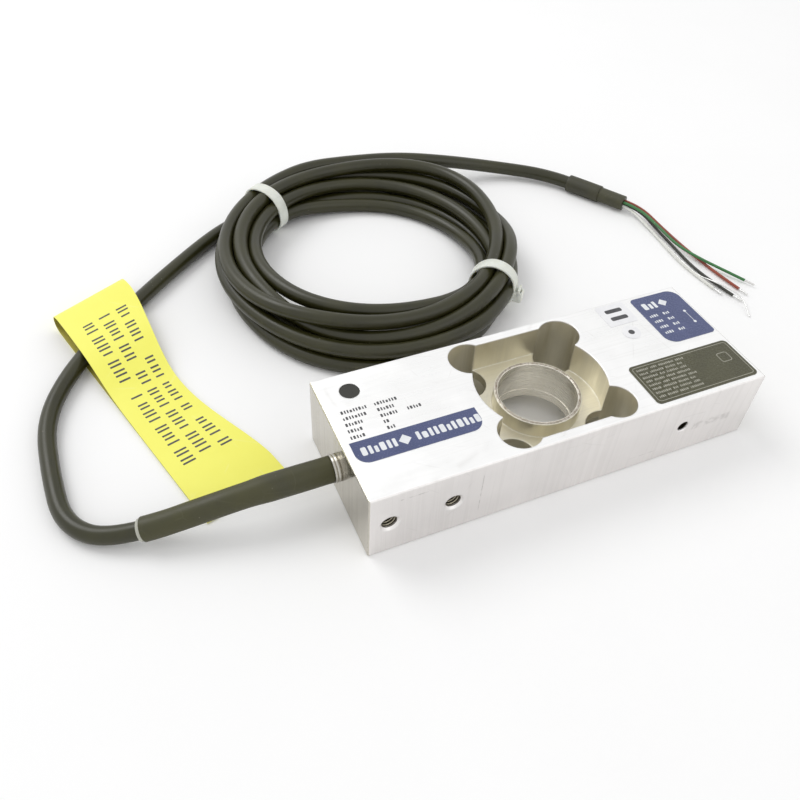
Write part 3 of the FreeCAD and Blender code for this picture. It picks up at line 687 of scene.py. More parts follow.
    def in_bores(self, graph: Graph, place: Node, between: Socket) -> Socket:
        """1 on the walls of the tapped holes, which take the nearly black painted shade.

        Args:
            graph: The material's graph.
            place: The separated object coordinates.
            between: 1 away from the side faces.

        Returns:
            The mask.
        """
        total: object = 0.0
        for x in self.bores:
            near = self.within(graph, place, ("X", x), ("Z", self.bore_z), self.bore_radius)
            total = graph.calc("MAXIMUM", total, near)
        return graph.times(total, between)

    def scuffs(self, graph: Graph, place: Node, where: Socket, is_top: Socket) -> Socket:
        """The scribed line, the grey smear and the scratches on the front face.

        Args:
            graph: The material's graph.
            place: The separated object coordinates.
            where: The object coordinates.
            is_top: 1 on the top and the underside.

        Returns:
            How dark the scuffs are, 0 to 1.
        """
        def near(axis: str, middle: float, half: float, soft: float) -> Socket:
            """1 within half of the middle along an axis."""
            away = graph.calc("ABSOLUTE", graph.minus(place.outputs[axis], middle))
            return graph.ramp(away, half, half + soft, 1.0, 0.0)

        front = graph.calc("LESS_THAN", place.outputs["Y"], -self.half_wide)
        front = graph.times(front, graph.minus(1.0, is_top))
        broken = graph.ramp(graph.noise(where, 420.0, 3.0), 0.36, 0.62)
        total: object = 0.0
        for x, half_x, z, half_z, soft, share in self.marks:
            mark = graph.times(near("X", x, half_x, soft), near("Z", z, half_z, soft))
            mark = graph.times(mark, graph.times(broken, share))
            total = graph.calc("MAXIMUM", total, mark)
        return graph.times(total, front)


@dataclass(frozen=True)
class LabelFinish(Finish):
    """Printed film or foil: even ink, slightly mottled, with a pale worn rim."""

    colour: Colour = (0.2, 0.28, 0.42)
    shade: Colour = (0.15, 0.22, 0.36)
    rim: Colour = (0.8, 0.82, 0.85)
    rough: float = 0.24
    fleck: float = 0.03

    def fill(self, graph: Graph, shader: Node, where: Socket) -> None:
        """Mottled ink with pinholes and a worn rim.

        Args:
            graph: The material's graph.
            shader: The shader to dress.
            where: The object coordinates.
        """
        patches = graph.patches(where, 160.0)
        grain = graph.effect("grain", where, Scale=1800.0)
        flecks = graph.effect("specks", where, Scale=1500.0, Amount=self.fleck).outputs[0]
        wear = graph.effect("edge_wear", where, Radius=0.00008)
        colour = graph.blend(patches, rgba(self.shade), rgba(self.colour))
        colour = graph.tint(colour, flecks, 0.5, self.rim)
        colour = graph.tint(colour, wear.outputs["Edge"], 0.5, self.rim)
        height = grain.outputs["Height"]
        graph.cover(shader, colour, graph.ramp(height, 0.3, 0.7, self.rough - 0.05, self.rough + 0.08))
        graph.emboss(shader, height, 0.06, 0.0001)


@dataclass(frozen=True)
class FilmFinish(Finish):
    """The tag's film: bright on its printed face, and a darker yellow on its other face as painted shade
    inside the fold.
    """

    colour: Colour = (0.95, 0.88, 0.18)
    shade: Colour = (0.90, 0.80, 0.12)
    # back: painted shade of the fold's inner face, which on the lower run lies under the upper run
    back: Colour = (0.62, 0.50, 0.22)
    crease: Colour = (1.0, 0.97, 0.6)

    def fill(self, graph: Graph, shader: Node, where: Socket) -> None:
        """Faint creases and patches, with the painted shade of the fold's inner face chosen by a layer of the
        mesh.

        Args:
            graph: The material's graph.
            shader: The shader to dress.
            where: The object coordinates.
        """
        patches = graph.patches(where, 30.0)
        grain = graph.effect("grain", where, Scale=1600.0).outputs["Height"]
        marks = graph.effect("scratches", where, Scale=30.0, Width=0.01).outputs[0]
        inner = graph.add("Attribute", attribute_name="inner_side").outputs["Fac"]
        colour = graph.blend(patches, rgba(self.shade), rgba(self.colour))
        colour = graph.tint(colour, marks, 0.15, self.crease)
        # The inner face takes the painted shade
        colour = graph.blend(inner, colour, rgba(self.back))
        graph.cover(shader, colour, graph.ramp(grain, 0.3, 0.7, 0.38, 0.5))
        graph.emboss(shader, graph.plus(graph.times(patches, 0.6), graph.times(grain, 0.1)), 0.12, 0.0008)


@dataclass(frozen=True)
class InkFinish(Finish):
    """Print: a thin layer of ink with slightly uneven cover."""

    colour: Colour = (0.05, 0.05, 0.06)
    thin: Colour = (0.2, 0.2, 0.2)
    rough: float = 0.5

    def fill(self, graph: Graph, shader: Node, where: Socket) -> None:
        """Uneven cover in colour and gloss.

        Args:
            graph: The material's graph.
            shader: The shader to dress.
            where: The object coordinates.
        """
        patches = graph.patches(where, 420.0)
        pits = graph.effect("grain", where, Scale=3200.0).outputs["Pits"]
        colour = graph.blend(graph.times(patches, 0.4), rgba(self.colour), rgba(self.thin))
        colour = graph.tint(colour, pits, 0.3, self.thin)
        graph.cover(shader, colour, graph.blend_value(patches, self.rough, self.rough + 0.12))


@dataclass(frozen=True)
class WeldFinish(Finish):
    """A fused bead: bright and dark ripples with heat tint."""

    colour: Colour = (0.62, 0.58, 0.52)
    shade: Colour = (0.26, 0.22, 0.17)

    def fill(self, graph: Graph, shader: Node, where: Socket) -> None:
        """Ripples in colour, roughness and height.

        Args:
            graph: The material's graph.
            shader: The shader to dress.
            where: The object coordinates.
        """
        shader.inputs["Metallic"].default_value = 1.0
        ripples = graph.noise(where, 900.0, 4.0, 0.65)
        patches = graph.patches(where, 260.0)
        colour = graph.blend(graph.ramp(ripples, 0.35, 0.65), rgba(self.shade), rgba(self.colour))
        colour = graph.tint(colour, patches, 0.4, self.shade)
        graph.cover(shader, colour, graph.ramp(ripples, 0.3, 0.7, 0.55, 0.25))
        graph.emboss(shader, ripples, 0.6, 0.0003)


FLOOR_PAPER = PaperFinish("floor_paper", None)
STAINLESS = BlockFinish("stainless_ground", Slot.STAINLESS)
SLEEVE = TurnedFinish("sleeve_drawn", Slot.SLEEVE_STEEL, (0.86, 0.83, 0.75), (0.62, 0.58, 0.48), 0.24)
# The thread's dark ridges are painted shade inside the tapped holes.
THREAD_IN_SHADE = TurnedFinish("thread_cut_shaded", Slot.STAINLESS, (0.36, 0.33, 0.26), (0.16, 0.14, 0.10), 0.25, 2600.0,
                      (0.02, 1.0, 0.02))
WELD = WeldFinish("weld_bead", Slot.WELD)
GLAND = TurnedFinish("gland_turned", Slot.GLAND_STEEL, (0.55, 0.53, 0.48), (0.34, 0.33, 0.28), 0.2,
                     2600.0, (1.0, 0.02, 0.02))
DUST: Colour = (0.14, 0.135, 0.09)
JACKET = PlasticFinish("jacket_dark", Slot.CABLE_JACKET, (0.0275, 0.0265, 0.0048),
                       (0.019, 0.0185, 0.0036), 0.29, 0.12, 60.0, 1800.0, 0.12, 0.012, DUST)
BEND = PlasticFinish("bend_sleeve_dark", Slot.BEND_JACKET, (0.048, 0.046, 0.012),
                     (0.034, 0.033, 0.010), 0.40, 0.12, 70.0, 1500.0, 0.2, 0.02, DUST, 0.1)
LINER = PlasticFinish("liner_milky", Slot.LINER_CLEAR, (0.50, 0.50, 0.44), (0.42, 0.42, 0.36),
                      0.3, 0.1, glow=0.15)
TIE = PlasticFinish("tie_nylon", Slot.TIE_NATURAL, (0.78, 0.80, 0.74), (0.70, 0.72, 0.65), 0.4, 0.1,
                    200.0, 1500.0, 0.1, 0.02, (0.5, 0.5, 0.45), glow=0.35)
SHRINK_BLACK = PlasticFinish("shrink_dark", Slot.SHRINK_BLACK, (0.044, 0.042, 0.020),
                             (0.032, 0.031, 0.016), 0.45, 0.12, 120.0, 1500.0, 0.2, 0.02, DUST)
SHRINK_OLIVE = PlasticFinish("shrink_olive", Slot.SHRINK_OLIVE, (0.055, 0.053, 0.024),
                             (0.04, 0.04, 0.02), 0.45, 0.12, 120.0, 1500.0, 0.2, 0.02, DUST)
CORE_RED = PlasticFinish("core_red", Slot.CORE_RED, (0.30, 0.06, 0.03), (0.24, 0.045, 0.025), 0.4)
CORE_GREEN = PlasticFinish("core_green", Slot.CORE_GREEN, (0.05, 0.20, 0.06), (0.04, 0.16, 0.05), 0.4)
CORE_BLACK = PlasticFinish("core_black", Slot.CORE_BLACK, (0.045, 0.045, 0.035), (0.03, 0.03, 0.024), 0.4)
CORE_WHITE = PlasticFinish("core_white", Slot.CORE_WHITE, (0.80, 0.80, 0.76), (0.72, 0.72, 0.67), 0.4)
TINNED = TurnedFinish("tinned_strands", Slot.TINNED, (0.80, 0.80, 0.79), (0.62, 0.61, 0.58), 0.3, 4000.0,
                      (1.0, 1.0, 1.0), 0.2)
# Its third colour is the painted shade of the fold's inner face.
TAG = FilmFinish("tag_film", Slot.TAG_FILM, (0.93, 0.91, 0.15), (0.91, 0.88, 0.13), (0.50, 0.44, 0.085))
LABEL_BLUE = LabelFinish("label_blue", Slot.LABEL_BLUE, (0.075, 0.092, 0.205), (0.063, 0.080, 0.180),
                         (0.35, 0.40, 0.50))
PLATE = LabelFinish("plate_olive", Slot.PLATE_OLIVE, (0.070, 0.068, 0.032), (0.055, 0.053, 0.025),
                    (0.4, 0.4, 0.34), 0.26)
STICKER = LabelFinish("sticker_paper", Slot.STICKER_WHITE, (0.86, 0.86, 0.87), (0.80, 0.80, 0.82),
                      (0.95, 0.95, 0.95), 0.5)
POTTING = PlasticFinish("potting_resin", Slot.POTTING, (0.022, 0.022, 0.015), (0.015, 0.015, 0.010),
                        0.35, 0.15, 400.0, 2600.0, 0.3, 0.05)
RUBBER = PlasticFinish("seal_rubber", Slot.SEAL_RUBBER, (0.03, 0.03, 0.03), (0.02, 0.02, 0.02), 0.6)
GAUGE = LabelFinish("gauge_film", Slot.GAUGE_FILM, (0.60, 0.36, 0.08), (0.50, 0.28, 0.05),
                    (0.75, 0.6, 0.3), 0.3)
BOARD = LabelFinish("board_laminate", Slot.BOARD, (0.05, 0.20, 0.08), (0.04, 0.16, 0.06),
                    (0.5, 0.45, 0.3), 0.35)
RESISTOR = PlasticFinish("resistor_lacquer", Slot.RESISTOR, (0.12, 0.22, 0.40), (0.10, 0.18, 0.34), 0.25)
INNER_WIRE = PlasticFinish("inner_wire_enamel", Slot.INNER_WIRE, (0.45, 0.07, 0.05), (0.38, 0.05, 0.04), 0.3)
INK_DARK = InkFinish("ink_dark", Slot.INK_DARK, (0.045, 0.045, 0.05), (0.16, 0.16, 0.16))
INK_LIGHT = InkFinish("ink_light", Slot.INK_LIGHT, (0.82, 0.84, 0.86), (0.6, 0.63, 0.68))
INK_SILVER = InkFinish("ink_silver", Slot.INK_LIGHT, (0.46, 0.45, 0.38), (0.30, 0.29, 0.23))


# ---- lines and meshes

class Line:
    """A line through points, measured by the distance along it."""

    def __init__(self, points: Sequence[Sequence[float]]) -> None:
        """Keep the points and the distance to each of them.

        Args:
            points: The points that it goes through.
        """
        self.points = np.array(points, float)
        steps = np.linalg.norm(np.diff(self.points, axis=0), axis=1)
        self.marks = np.concatenate([[0.0], np.cumsum(steps)])

    @property
    def length(self) -> float:
        """The whole length."""
        return float(self.marks[-1])

    def at(self, distance: float) -> np.ndarray:
        """The point at a distance along the line, carried straight on past its ends."""
        inside = min(max(distance, 0.0), self.length)
        return self.spot(inside) + (distance - inside) * self.heading(inside)

    def spot(self, distance: float) -> np.ndarray:
        """The point at a distance that lies on the line."""
        return np.array([np.interp(distance, self.marks, self.points[:, i]) for i in range(3)])

    def heading(self, distance: float, reach: float = 0.0008) -> np.ndarray:
        """The unit direction at a distance, taken over a short reach to both sides.

        Args:
            distance: The place along the line.
            reach: How far on either side is looked at.

        Returns:
            The direction, one long.
        """
        distance = min(max(distance, 0.0), self.length)
        step = self.spot(min(distance + reach, self.length)) - self.spot(max(distance - reach, 0.0))
        return step / max(np.linalg.norm(step), 1e-12)

    def frames(self, stations: Sequence[float]) -> list[tuple[np.ndarray, np.ndarray, np.ndarray]]:
        """Point, side and upward direction at each station, without twist.

        Args:
            stations: Distances along the line.

        Returns:
            One (point, side, upward) for each station.
        """
        made = []
        upward = np.array([0.0, 0.0, 1.0])
        for distance in stations:
            ahead = self.heading(distance)
            side = np.cross(upward, ahead)
            if np.linalg.norm(side) < 1e-6:
                side = np.cross(np.array([1.0, 0.0, 0.0]), ahead)
            side = side / np.linalg.norm(side)
            upward = np.cross(ahead, side)
            made.append((self.at(distance), side, upward))
        return made


def add_mesh(name: str, points: Iterable, faces: Iterable, finish: Finish,
             sharp: float = 40.0) -> Piece:
    """Make a piece from points and faces, dress it and let it ride.

    Args:
        name: The piece's name.
        points: Its vertices.
        faces: Its faces, as vertex numbers.
        finish: Its finish.
        sharp: Edges that turn by more degrees than this stay sharp.

    Returns:
        The piece.
    """
    mesh = bpy.data.meshes.new(name)
    mesh.from_pydata([tuple(p) for p in points], [], [tuple(f) for f in faces])
    mesh.validate()
    mesh.materials.append(finish.material())
    mesh.shade_smooth()
    mesh.set_sharp_from_angle(angle=math.radians(sharp))
    piece = bpy.data.objects.new(name, mesh)
    bpy.context.scene.collection.objects.link(piece)
    return settle(piece, finish)


def settle(piece: Piece, finish: Finish) -> Piece:
    """Let a piece ride on the body and report it.

    Args:
        piece: The new piece.
        finish: Not used.

    Returns:
        The piece.
    """
    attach(piece, BODY)
    LOG.info("made %s", piece.name)
    return piece


def grid_faces(rows: int, columns: int, close_rows: bool, close_columns: bool) -> list[tuple]:
    """Quads between the points of a grid.

    Args:
        rows: Number of rows.
        columns: Points in each row.
        close_rows: Join the last row to the first.
        close_columns: Join the last column to the first.

    Returns:
        The faces.
    """
    faces = []
    for r in range(rows if close_rows else rows - 1):
        for c in range(columns if close_columns else columns - 1):
            here, next_row, beside = r * columns, (r + 1) % rows * columns, (c + 1) % columns
            faces.append((here + c, here + beside, next_row + beside, next_row + c))
    return faces


def ring_points(x: float, y: float, radius: float, count: int) -> list[Pair]:
    """Points evenly round a circle."""
    angles = [math.tau * k / count for k in range(count)]
    return [(x + radius * math.cos(a), y + radius * math.sin(a)) for a in angles]


def sweep(line: Line, loop: Sequence[Pair], around: int,
          shift: Callable[[float, float], float] | None = None) -> tuple[list, list]:
    """Carry a closed loop of (distance, radius) round a line, as on a lathe that follows it.

    Args:
        line: The line in the middle.
        loop: Corners of the section, outside first and then back along the inside.
        around: Points in each ring.
        shift: Extra radius by (distance, angle).

    Returns:
        Points and faces.
    """
    order = sorted(range(len(loop)), key=lambda i: loop[i][0])
    found = dict(zip(order, line.frames([loop[i][0] for i in order])))
    points = []
    for number, (distance, radius) in enumerate(loop):
        point, side, upward = found[number]
        for k in range(around):
            angle = math.tau * k / around
            reach = radius + (shift(distance, angle) if shift else 0.0)
            points.append(point + reach * (math.cos(angle) * side + math.sin(angle) * upward))
    return points, grid_faces(len(loop), around, True, True)


def tube_loop(start: float, end: float, outer: float, inner: float, step: float = 0.0012,
              lip: float = 0.0003) -> list[Pair]:
    """The section of a plain tube with rounded lips, for sweep.

    Args:
        start: Distance at its near end.
        end: Distance at its far end.
        outer: Outer radius.
        inner: Inner radius.
        step: Distance between rings.
        lip: Size of the rounding at its ends.

    Returns:
        The loop of (distance, radius).
    """
    count = max(int((end - start) / step), 4)
    inside = [(start + (end - start) * i / count, inner) for i in range(count, -1, -1)]
    middle = [(start + lip + (end - start - 2 * lip) * i / count, outer) for i in range(count + 1)]
    near = [(start, outer - lip), (start + 0.3 * lip, outer - 0.3 * lip)]
    far = [(end - 0.3 * lip, outer - 0.3 * lip), (end, outer - lip)]
    return near + middle + far + inside


def rounded_outline(low: Sequence[float], high: Sequence[float], radii: float | Sequence[float],
                    steps: int = 6) -> list[Pair]:
    """A rectangle with rounded corners, anticlockwise from its low corner.

    Args:
        low: Lowest X and Y.
        high: Highest X and Y.
        radii: One radius, or those at low-low, high-low, high-high and low-high.
        steps: Points in each corner.

    Returns:
        The outline.
    """
    corners = ((low[0], low[1], 1, 1, math.pi), (high[0], low[1], -1, 1, 1.5 * math.pi),
               (high[0], high[1], -1, -1, 0.0), (low[0], high[1], 1, -1, 0.5 * math.pi))
    outline = []
    for (x, y, sx, sy, first), radius in zip(corners, np.broadcast_to(radii, 4).tolist()):
        for k in range(steps + 1):
            angle = first + 0.5 * math.pi * k / steps
            outline.append((x + radius * (sx + math.cos(angle)), y + radius * (sy + math.sin(angle))))
    return outline


class Stack:
    """Collects the points and faces of many small shapes for one mesh."""

    def __init__(self) -> None:
        """Start empty."""
        self.points: list = []
        self.faces: list = []

    def put(self, points: Sequence, faces: Sequence) -> None:
        """Add one shape.

        Args:
            points: Its vertices.
            faces: Its faces, as numbers of those vertices.
        """
        start = len(self.points)
        self.points.extend(tuple(p) for p in points)
        self.faces.extend(tuple(start + i for i in face) for face in faces)

    def prism(self, outline: Sequence[Pair], low: float, high: float,
              carry: Carry | None = None) -> None:
        """Add an outline raised between two heights.

        Args:
            outline: Corner points, anticlockwise.
            low: Height of its base.
            high: Height of its top.
            carry: Takes (x, y, height) to a place; plain if left out.
        """
        count = len(outline)
        place = carry or (lambda x, y, z: (x, y, z))
        ring = [place(x, y, z) for z in (low, high) for x, y in outline]
        faces = [(i, (i + 1) % count, count + (i + 1) % count, count + i) for i in range(count)]
        faces.append(tuple(range(count, 2 * count)))
        faces.append(tuple(range(count - 1, -1, -1)))
        self.put(ring, faces)

    def bar(self, x: float, y: float, long: float, wide: float, low: float, high: float,
            round_by: float = 0.3, carry: Carry | None = None) -> None:
        """Add a flat bar with rounded ends, centred on (x, y).

        Args:
            x: Its middle.
            y: Its middle across.
            long: Its size along X.
            wide: Its size along Y.
            low: Height of its base.
            high: Height of its top.
            round_by: Corner radius as a share of its smaller size.
            carry: Takes (x, y, height) to a place; plain if left out.
        """
        radius = round_by * min(long, wide)
        outline = rounded_outline((x - long / 2, y - wide / 2), (x + long / 2, y + wide / 2), radius, 2)
        self.prism(outline, low, high, carry)

    def border(self, low: Pair, high: Pair, radius: float, wide: float, base: float, top: float) -> None:
        """Add a rounded rectangular line of a given width.

        Args:
            low: Its lowest corner.
            high: Its highest corner.
            radius: Its outer corner radius.
            wide: The line's width.
            base: Height of its base.
            top: Height of its top.
        """
        outer = rounded_outline(low, high, radius)
        inner = rounded_outline([v + wide for v in low], [v - wide for v in high], radius - wide)
        rings = [(outer, base), (outer, top), (inner, top), (inner, base)]
        points = [(x, y, z) for ring, z in rings for x, y in ring]
        self.put(points, grid_faces(4, len(outer), True, True))


# ---- cords

def add_cord(name: str, points: Sequence[Point], diameter: float, finish: Finish) -> Piece:
    """Draw a cord as one open NURBS spline.

    Args:
        name: The cord's name.
        points: Its control points.
        diameter: Its thickness.
        finish: Its finish.

    Returns:
        The curve.
    """
    data = bpy.data.curves.new(name, "CURVE")
    data.dimensions = "3D"
    spline = data.splines.new("NURBS")
    spline.points.add(len(points) - 1)
    for target, point in zip(spline.points, points):
        target.co = (*point, 1.0)
        target.radius = diameter / 2
    spline.order_u = 3
    spline.use_endpoint_u = True
    data.resolution_u, data.bevel_resolution = 12, 10
    data.bevel_depth = 1.0
    data.use_fill_caps = True
    data.materials.append(finish.material())
    cord = bpy.data.objects.new(name, data)
    bpy.context.scene.collection.objects.link(cord)
    return settle(cord, finish)


def centre_line(cord: Piece) -> Line:
    """The line in the middle of a cord, read from its own spline.

    Args:
        cord: The cord's curve.

    Returns:
        The line.
    """
    thick = cord.data.bevel_depth
    cord.data.bevel_depth = 0.0
    mesh = bpy.data.meshes.new_from_object(cord)
    cord.data.bevel_depth = thick
    points = [tuple(v.co) for v in mesh.vertices]
    bpy.data.meshes.remove(mesh)
    return Line(points)


@dataclass
class CoilLay:
    """How the strands of the wound cable lie: they are tied at two places and fan out between."""

    centre: Pair = (-0.018, 0.115)
    radius: float = 0.05845
    first_angle: float = 125.0
    steps: int = 24
    spacing: float = 0.00645
    floor: float = 0.00312
    slots: tuple = (  # angle, pull, and each turn's (outward, up) in millimetres
        (0.0, 0.50, ((6.6, 3.3), (-1.6, 3.2), (-6.8, 6.8), (-6.5, 13.2),
                     (0.0, 10.0), (6.6, 9.7), (-1.6, 16.4))),
        (48.0, 0.25, ((7.9, 3.1), (-4.7, 3.1), (-11.4, 3.1), (-1.0, 8.9),
                      (1.6, 3.1), (6.4, 9.0), (3.4, 14.4))),
        (92.0, 0.25, ((9.4, 3.1), (-4.6, 3.1), (-11.2, 3.1), (-3.5, 8.8),
                      (2.2, 3.1), (9.3, 9.4), (11.5, 15.0))),
        (120.0, 0.20, ((9.6, 3.1), (-4.2, 3.1), (-9.8, 4.2), (-4.0, 9.2),
                       (2.8, 4.5), (6.6, 9.2), (2.8, 15.0))),
        (170.0, 0.50, ((3.2, 3.4), (-3.2, 3.4), (-6.4, 9.2), (0.0, 9.2),
                       (6.4, 9.2), (3.2, 14.8), (-3.2, 14.8))),
        (215.0, 0.25, ((10.8, 3.1), (-7.5, 3.4), (-9.6, 14.0), (0.0, 3.1),
                       (8.2, 8.9), (3.0, 11.0), (-2.8, 14.6))),
        (250.0, 0.15, ((10.3, 3.1), (-6.0, 3.8), (-9.9, 14.6), (1.5, 5.4),
                       (7.8, 8.6), (3.2, 10.8), (0.4, 16.6))),
        (290.0, 0.30, ((4.5, 3.1), (-6.8, 5.2), (-9.2, 14.8), (-1.5, 9.0),
                       (5.5, 9.2), (-2.4, 15.4), (4.1, 15.8))),
    )
    last_slot: Pair = (4.0, 14.9)
    leaving: Pair = (7.6, 14.6)
    turns: int = 7
    rounds: int = 400
    stiffness: float = 0.05
    sinking: float = 0.00002

    def keys(self) -> list[tuple[float, Pair, float]]:
        """Where the strands are led: (station, (outward, up) in millimetres, pull).

        Returns:
            The keys in order of their stations.
        """
        step = 360.0 / self.steps
        found = [(turn * self.steps + angle / step, slots[turn], pull)
                 for turn in range(self.turns) for angle, pull, slots in self.slots]
        last = float(self.turns * self.steps)
        return found + [(last, self.last_slot, 0.5), (last + 2.0, self.leaving, 0.5)]

    def settle(self) -> np.ndarray:
        """Let the strands push each other apart and sink to the floor.

        Returns:
            (outward, up) in metres for every point of the winding.
        """
        keys = self.keys()
        stations = np.array([k[0] for k in keys])
        slots = np.array([k[1] for k in keys]) / 1000.0
        count = self.turns * self.steps + 3
        numbers = np.arange(count)
        after = np.clip(np.searchsorted(stations, numbers, side="right"), 1, len(keys) - 1)
        share = np.clip((numbers - stations[after - 1]) / (stations[after] - stations[after - 1]), 0.0, 1.0)
        share = (share * share * (3.0 - 2.0 * share))[:, None]
        lay = slots[after - 1] * (1.0 - share) + slots[after] * share
        pull, target = np.zeros(count), np.zeros((count, 2))
        for station, slot, weight in keys:
            for number in range(max(0, int(station) - 1), min(count, int(station) + 3)):
                near = weight * max(0.0, 1.0 - abs(number - station) / 1.5)
                target[number] += near * np.array(slot) / 1000.0
                pull[number] += near
        led = pull > 0.0
        target[led] /= pull[led, None]
        pull = np.minimum(pull, 0.6) * 0.5
        first = lay[0].copy()
        for _ in range(self.rounds):
            bend = np.zeros_like(lay)
            bend[1:-1] = lay[:-2] - 2.0 * lay[1:-1] + lay[2:]
            stiff = np.zeros_like(lay)
            stiff[1:-1] = bend[:-2] - 2.0 * bend[1:-1] + bend[2:]
            lay[2:-2] -= self.stiffness * stiff[2:-2]
            lay[:, 1] -= self.sinking
            lay += (target - lay) * pull[:, None]
            for _ in range(6):
                self.part(lay)
            lay[0] = first
        return lay

    def part(self, lay: np.ndarray) -> None:
        """Push apart strands that are nearer than the spacing, at every station round the coil.

        Args:
            lay: (outward, up) of every point, changed in place.
        """
        for station in range(self.steps):
            strands = np.arange(station, len(lay), self.steps)
            here = lay[strands]
            gap = here[:, None] - here[None]
            apart = np.hypot(gap[..., 0], gap[..., 1]) + np.eye(len(strands))
            push = np.maximum(self.spacing - apart, 0.0) / apart * 0.5
            lay[strands] += (gap * push[..., None]).sum(1)
        lay[:, 1] = np.maximum(lay[:, 1], self.floor)

    def points(self) -> list[Point]:
        """The winding's control points, clockwise seen from above.

        Returns:
            The points in metres.
        """
        made = []
        for number, (out, up) in enumerate(self.settle()):
            angle = math.radians(self.first_angle - 360.0 / self.steps * number)
            reach = self.radius + out
            x, y = self.centre[0] + reach * math.cos(angle), self.centre[1] + reach * math.sin(angle)
            made.append((x, y, float(up)))
        return made

    def section(self, line: Line, angle: float, margin: float = 0.018) -> list[Pair]:
        """Where the strands cross an upright plane through the coil's middle.

        Args:
            line: The cable's centre line.
            angle: The plane's direction in degrees.
            margin: Strands further than this from the coil's radius are left out.

        Returns:
            (distance from the middle, height) of each strand.
        """
        away = line.points[:, :2] - np.array(self.centre)
        turned = np.degrees(np.arctan2(away[:, 1], away[:, 0])) - angle
        turned = (turned + 180.0) % 360.0 - 180.0
        reach = np.hypot(away[:, 0], away[:, 1])
        found = []
        for i, (now, then) in enumerate(zip(turned, turned[1:])):
            if now * then <= 0.0 and abs(now) < 20.0 and now != then:
                share = now / (now - then)
                out = reach[i] + share * (reach[i + 1] - reach[i])
                up = line.points[i, 2] + share * (line.points[i + 1, 2] - line.points[i, 2])
                if abs(out - self.radius) < margin:
                    found.append((float(out), float(up)))
        return found


@dataclass
class SignalCable:
    """The cable in one run: out of the gland, round to the coil, seven turns, and on to its end."""

    diameter: float = 0.0062
    lead: tuple = ((-0.0690, 0.0, 0.01425), (-0.0920, 0.0, 0.01425), (-0.1070, 0.0, 0.01425),
                   (-0.1470, 0.0056, 0.0037), (-0.1610, 0.0170, 0.0032), (-0.1625, 0.0400, 0.0032),
                   (-0.1615, 0.0660, 0.0034), (-0.1500, 0.0880, 0.0038), (-0.1320, 0.1085, 0.0038),
                   (-0.1120, 0.1280, 0.0038), (-0.0900, 0.1475, 0.0036), (-0.0760, 0.1588, 0.0033),
                   (-0.0660, 0.1642, 0.0033))
    tail: tuple = ((-0.0037, 0.1821, 0.0144), (0.0220, 0.1785, 0.0139), (0.0480, 0.1730, 0.0104),
                   (0.0760, 0.1670, 0.0049), (0.0970, 0.1535, 0.0042), (0.1105, 0.1330, 0.0042),
                   (0.1208, 0.1155, 0.0042))
    length: float = 3.063
    lay: CoilLay = field(default_factory=CoilLay)

    def build(self) -> None:
        """Draw the cable and read its centre line."""
        points = list(self.lead) + self.lay.points() + list(self.tail)
        self.cord = add_cord("signal_cable", points, self.diameter, JACKET)
        self.line = centre_line(self.cord)
        LOG.info("signal_cable is %.4f m long", self.line.length)
        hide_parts("cable_lead", "cable_coil", "cable_tail")

    def declare(self) -> None:
        """Look up the cable's first point and its length, and keep neither."""
        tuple(self.lead[0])
        self.length


@dataclass
class CableSleeves:
    """The tubes on the cable: the bend sleeve and its liner, and two shrunk tubes at the far end."""

    liner_outer: float = 0.00375
    liner_inner: float = 0.00318
    boot_thick: float = 0.0046
    boot_slim: float = 0.00415
    boot_bore: float = 0.00422
    bore_deep: float = 0.012
    step_soft: float = 0.0016
    collar_end: float = 0.0082
    step_at: float = 0.0330
    boot_end: float = 0.0705
    liner_start: float = 0.0202
    liner_end: float = 0.0716
    thin_long: float = 0.0132
    thick_long: float = 0.0179
    overlap: float = 0.0008

    def build_boot(self, line: Line) -> Piece:
        """The bend sleeve, thick over the gland's tail and shrunk slimmer beyond it.

        Args:
            line: The cable's centre line.

        Returns:
            The sleeve.
        """
        start, end = self.collar_end, self.boot_end
        stations = np.linspace(start + 0.0003, end - 0.0003, 110)
        loop = [(start, self.boot_thick - 0.0004), (start + 0.0001, self.boot_thick - 0.0001)]
        for distance in stations:
            share = 1.0 / (1.0 + math.exp((self.step_at - distance) / self.step_soft))
            loop.append((float(distance), self.boot_thick + (self.boot_slim - self.boot_thick) * share))
        loop += [(end - 0.0001, self.boot_slim - 0.0001), (end, self.boot_slim - 0.0003)]
        seat = start + self.bore_deep
        loop += [(float(d), self.liner_outer + 0.00002) for d in np.linspace(end, seat, 60)]
        loop += [(float(d), self.boot_bore) for d in np.linspace(seat - 0.0002, start, 8)]

        def uneven(distance: float, angle: float) -> float:
            """Slight unevenness of the shrunk wall."""
            seat = Vector((distance * 130.0, math.cos(angle) * 0.6, math.sin(angle) * 0.6))
            return 0.00006 * noise.noise(seat)

        points, faces = sweep(line, loop, 40, uneven)
        boot = add_mesh("bend_sleeve_skin", points, faces, BEND)
        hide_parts("bend_sleeve")
        return boot

    def build(self, line: Line) -> list[Piece]:
        """Make all four tubes.

        Args:
            line: The cable's centre line.

        Returns:
            The tubes.
        """
        tubes = [self.build_boot(line)]
        join = line.length - self.thin_long
        for name, start, end, outer, inner, finish, node in (
            ("liner_tube", self.liner_start, self.liner_end, self.liner_outer, self.liner_inner, LINER,
             "sleeve_liner"),
            ("shrink_thick_tube", join - self.thick_long, join, 0.0041, 0.0034, SHRINK_BLACK, "shrink_thick"),
            ("shrink_thin_tube", join - self.overlap, line.length, 0.0036, 0.00315, SHRINK_OLIVE,
             "shrink_thin"),
        ):
            points, faces = sweep(line, tube_loop(start, end, outer, inner), 36)
            tubes.append(add_mesh(name, points, faces, finish))
            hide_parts(node)
        return tubes


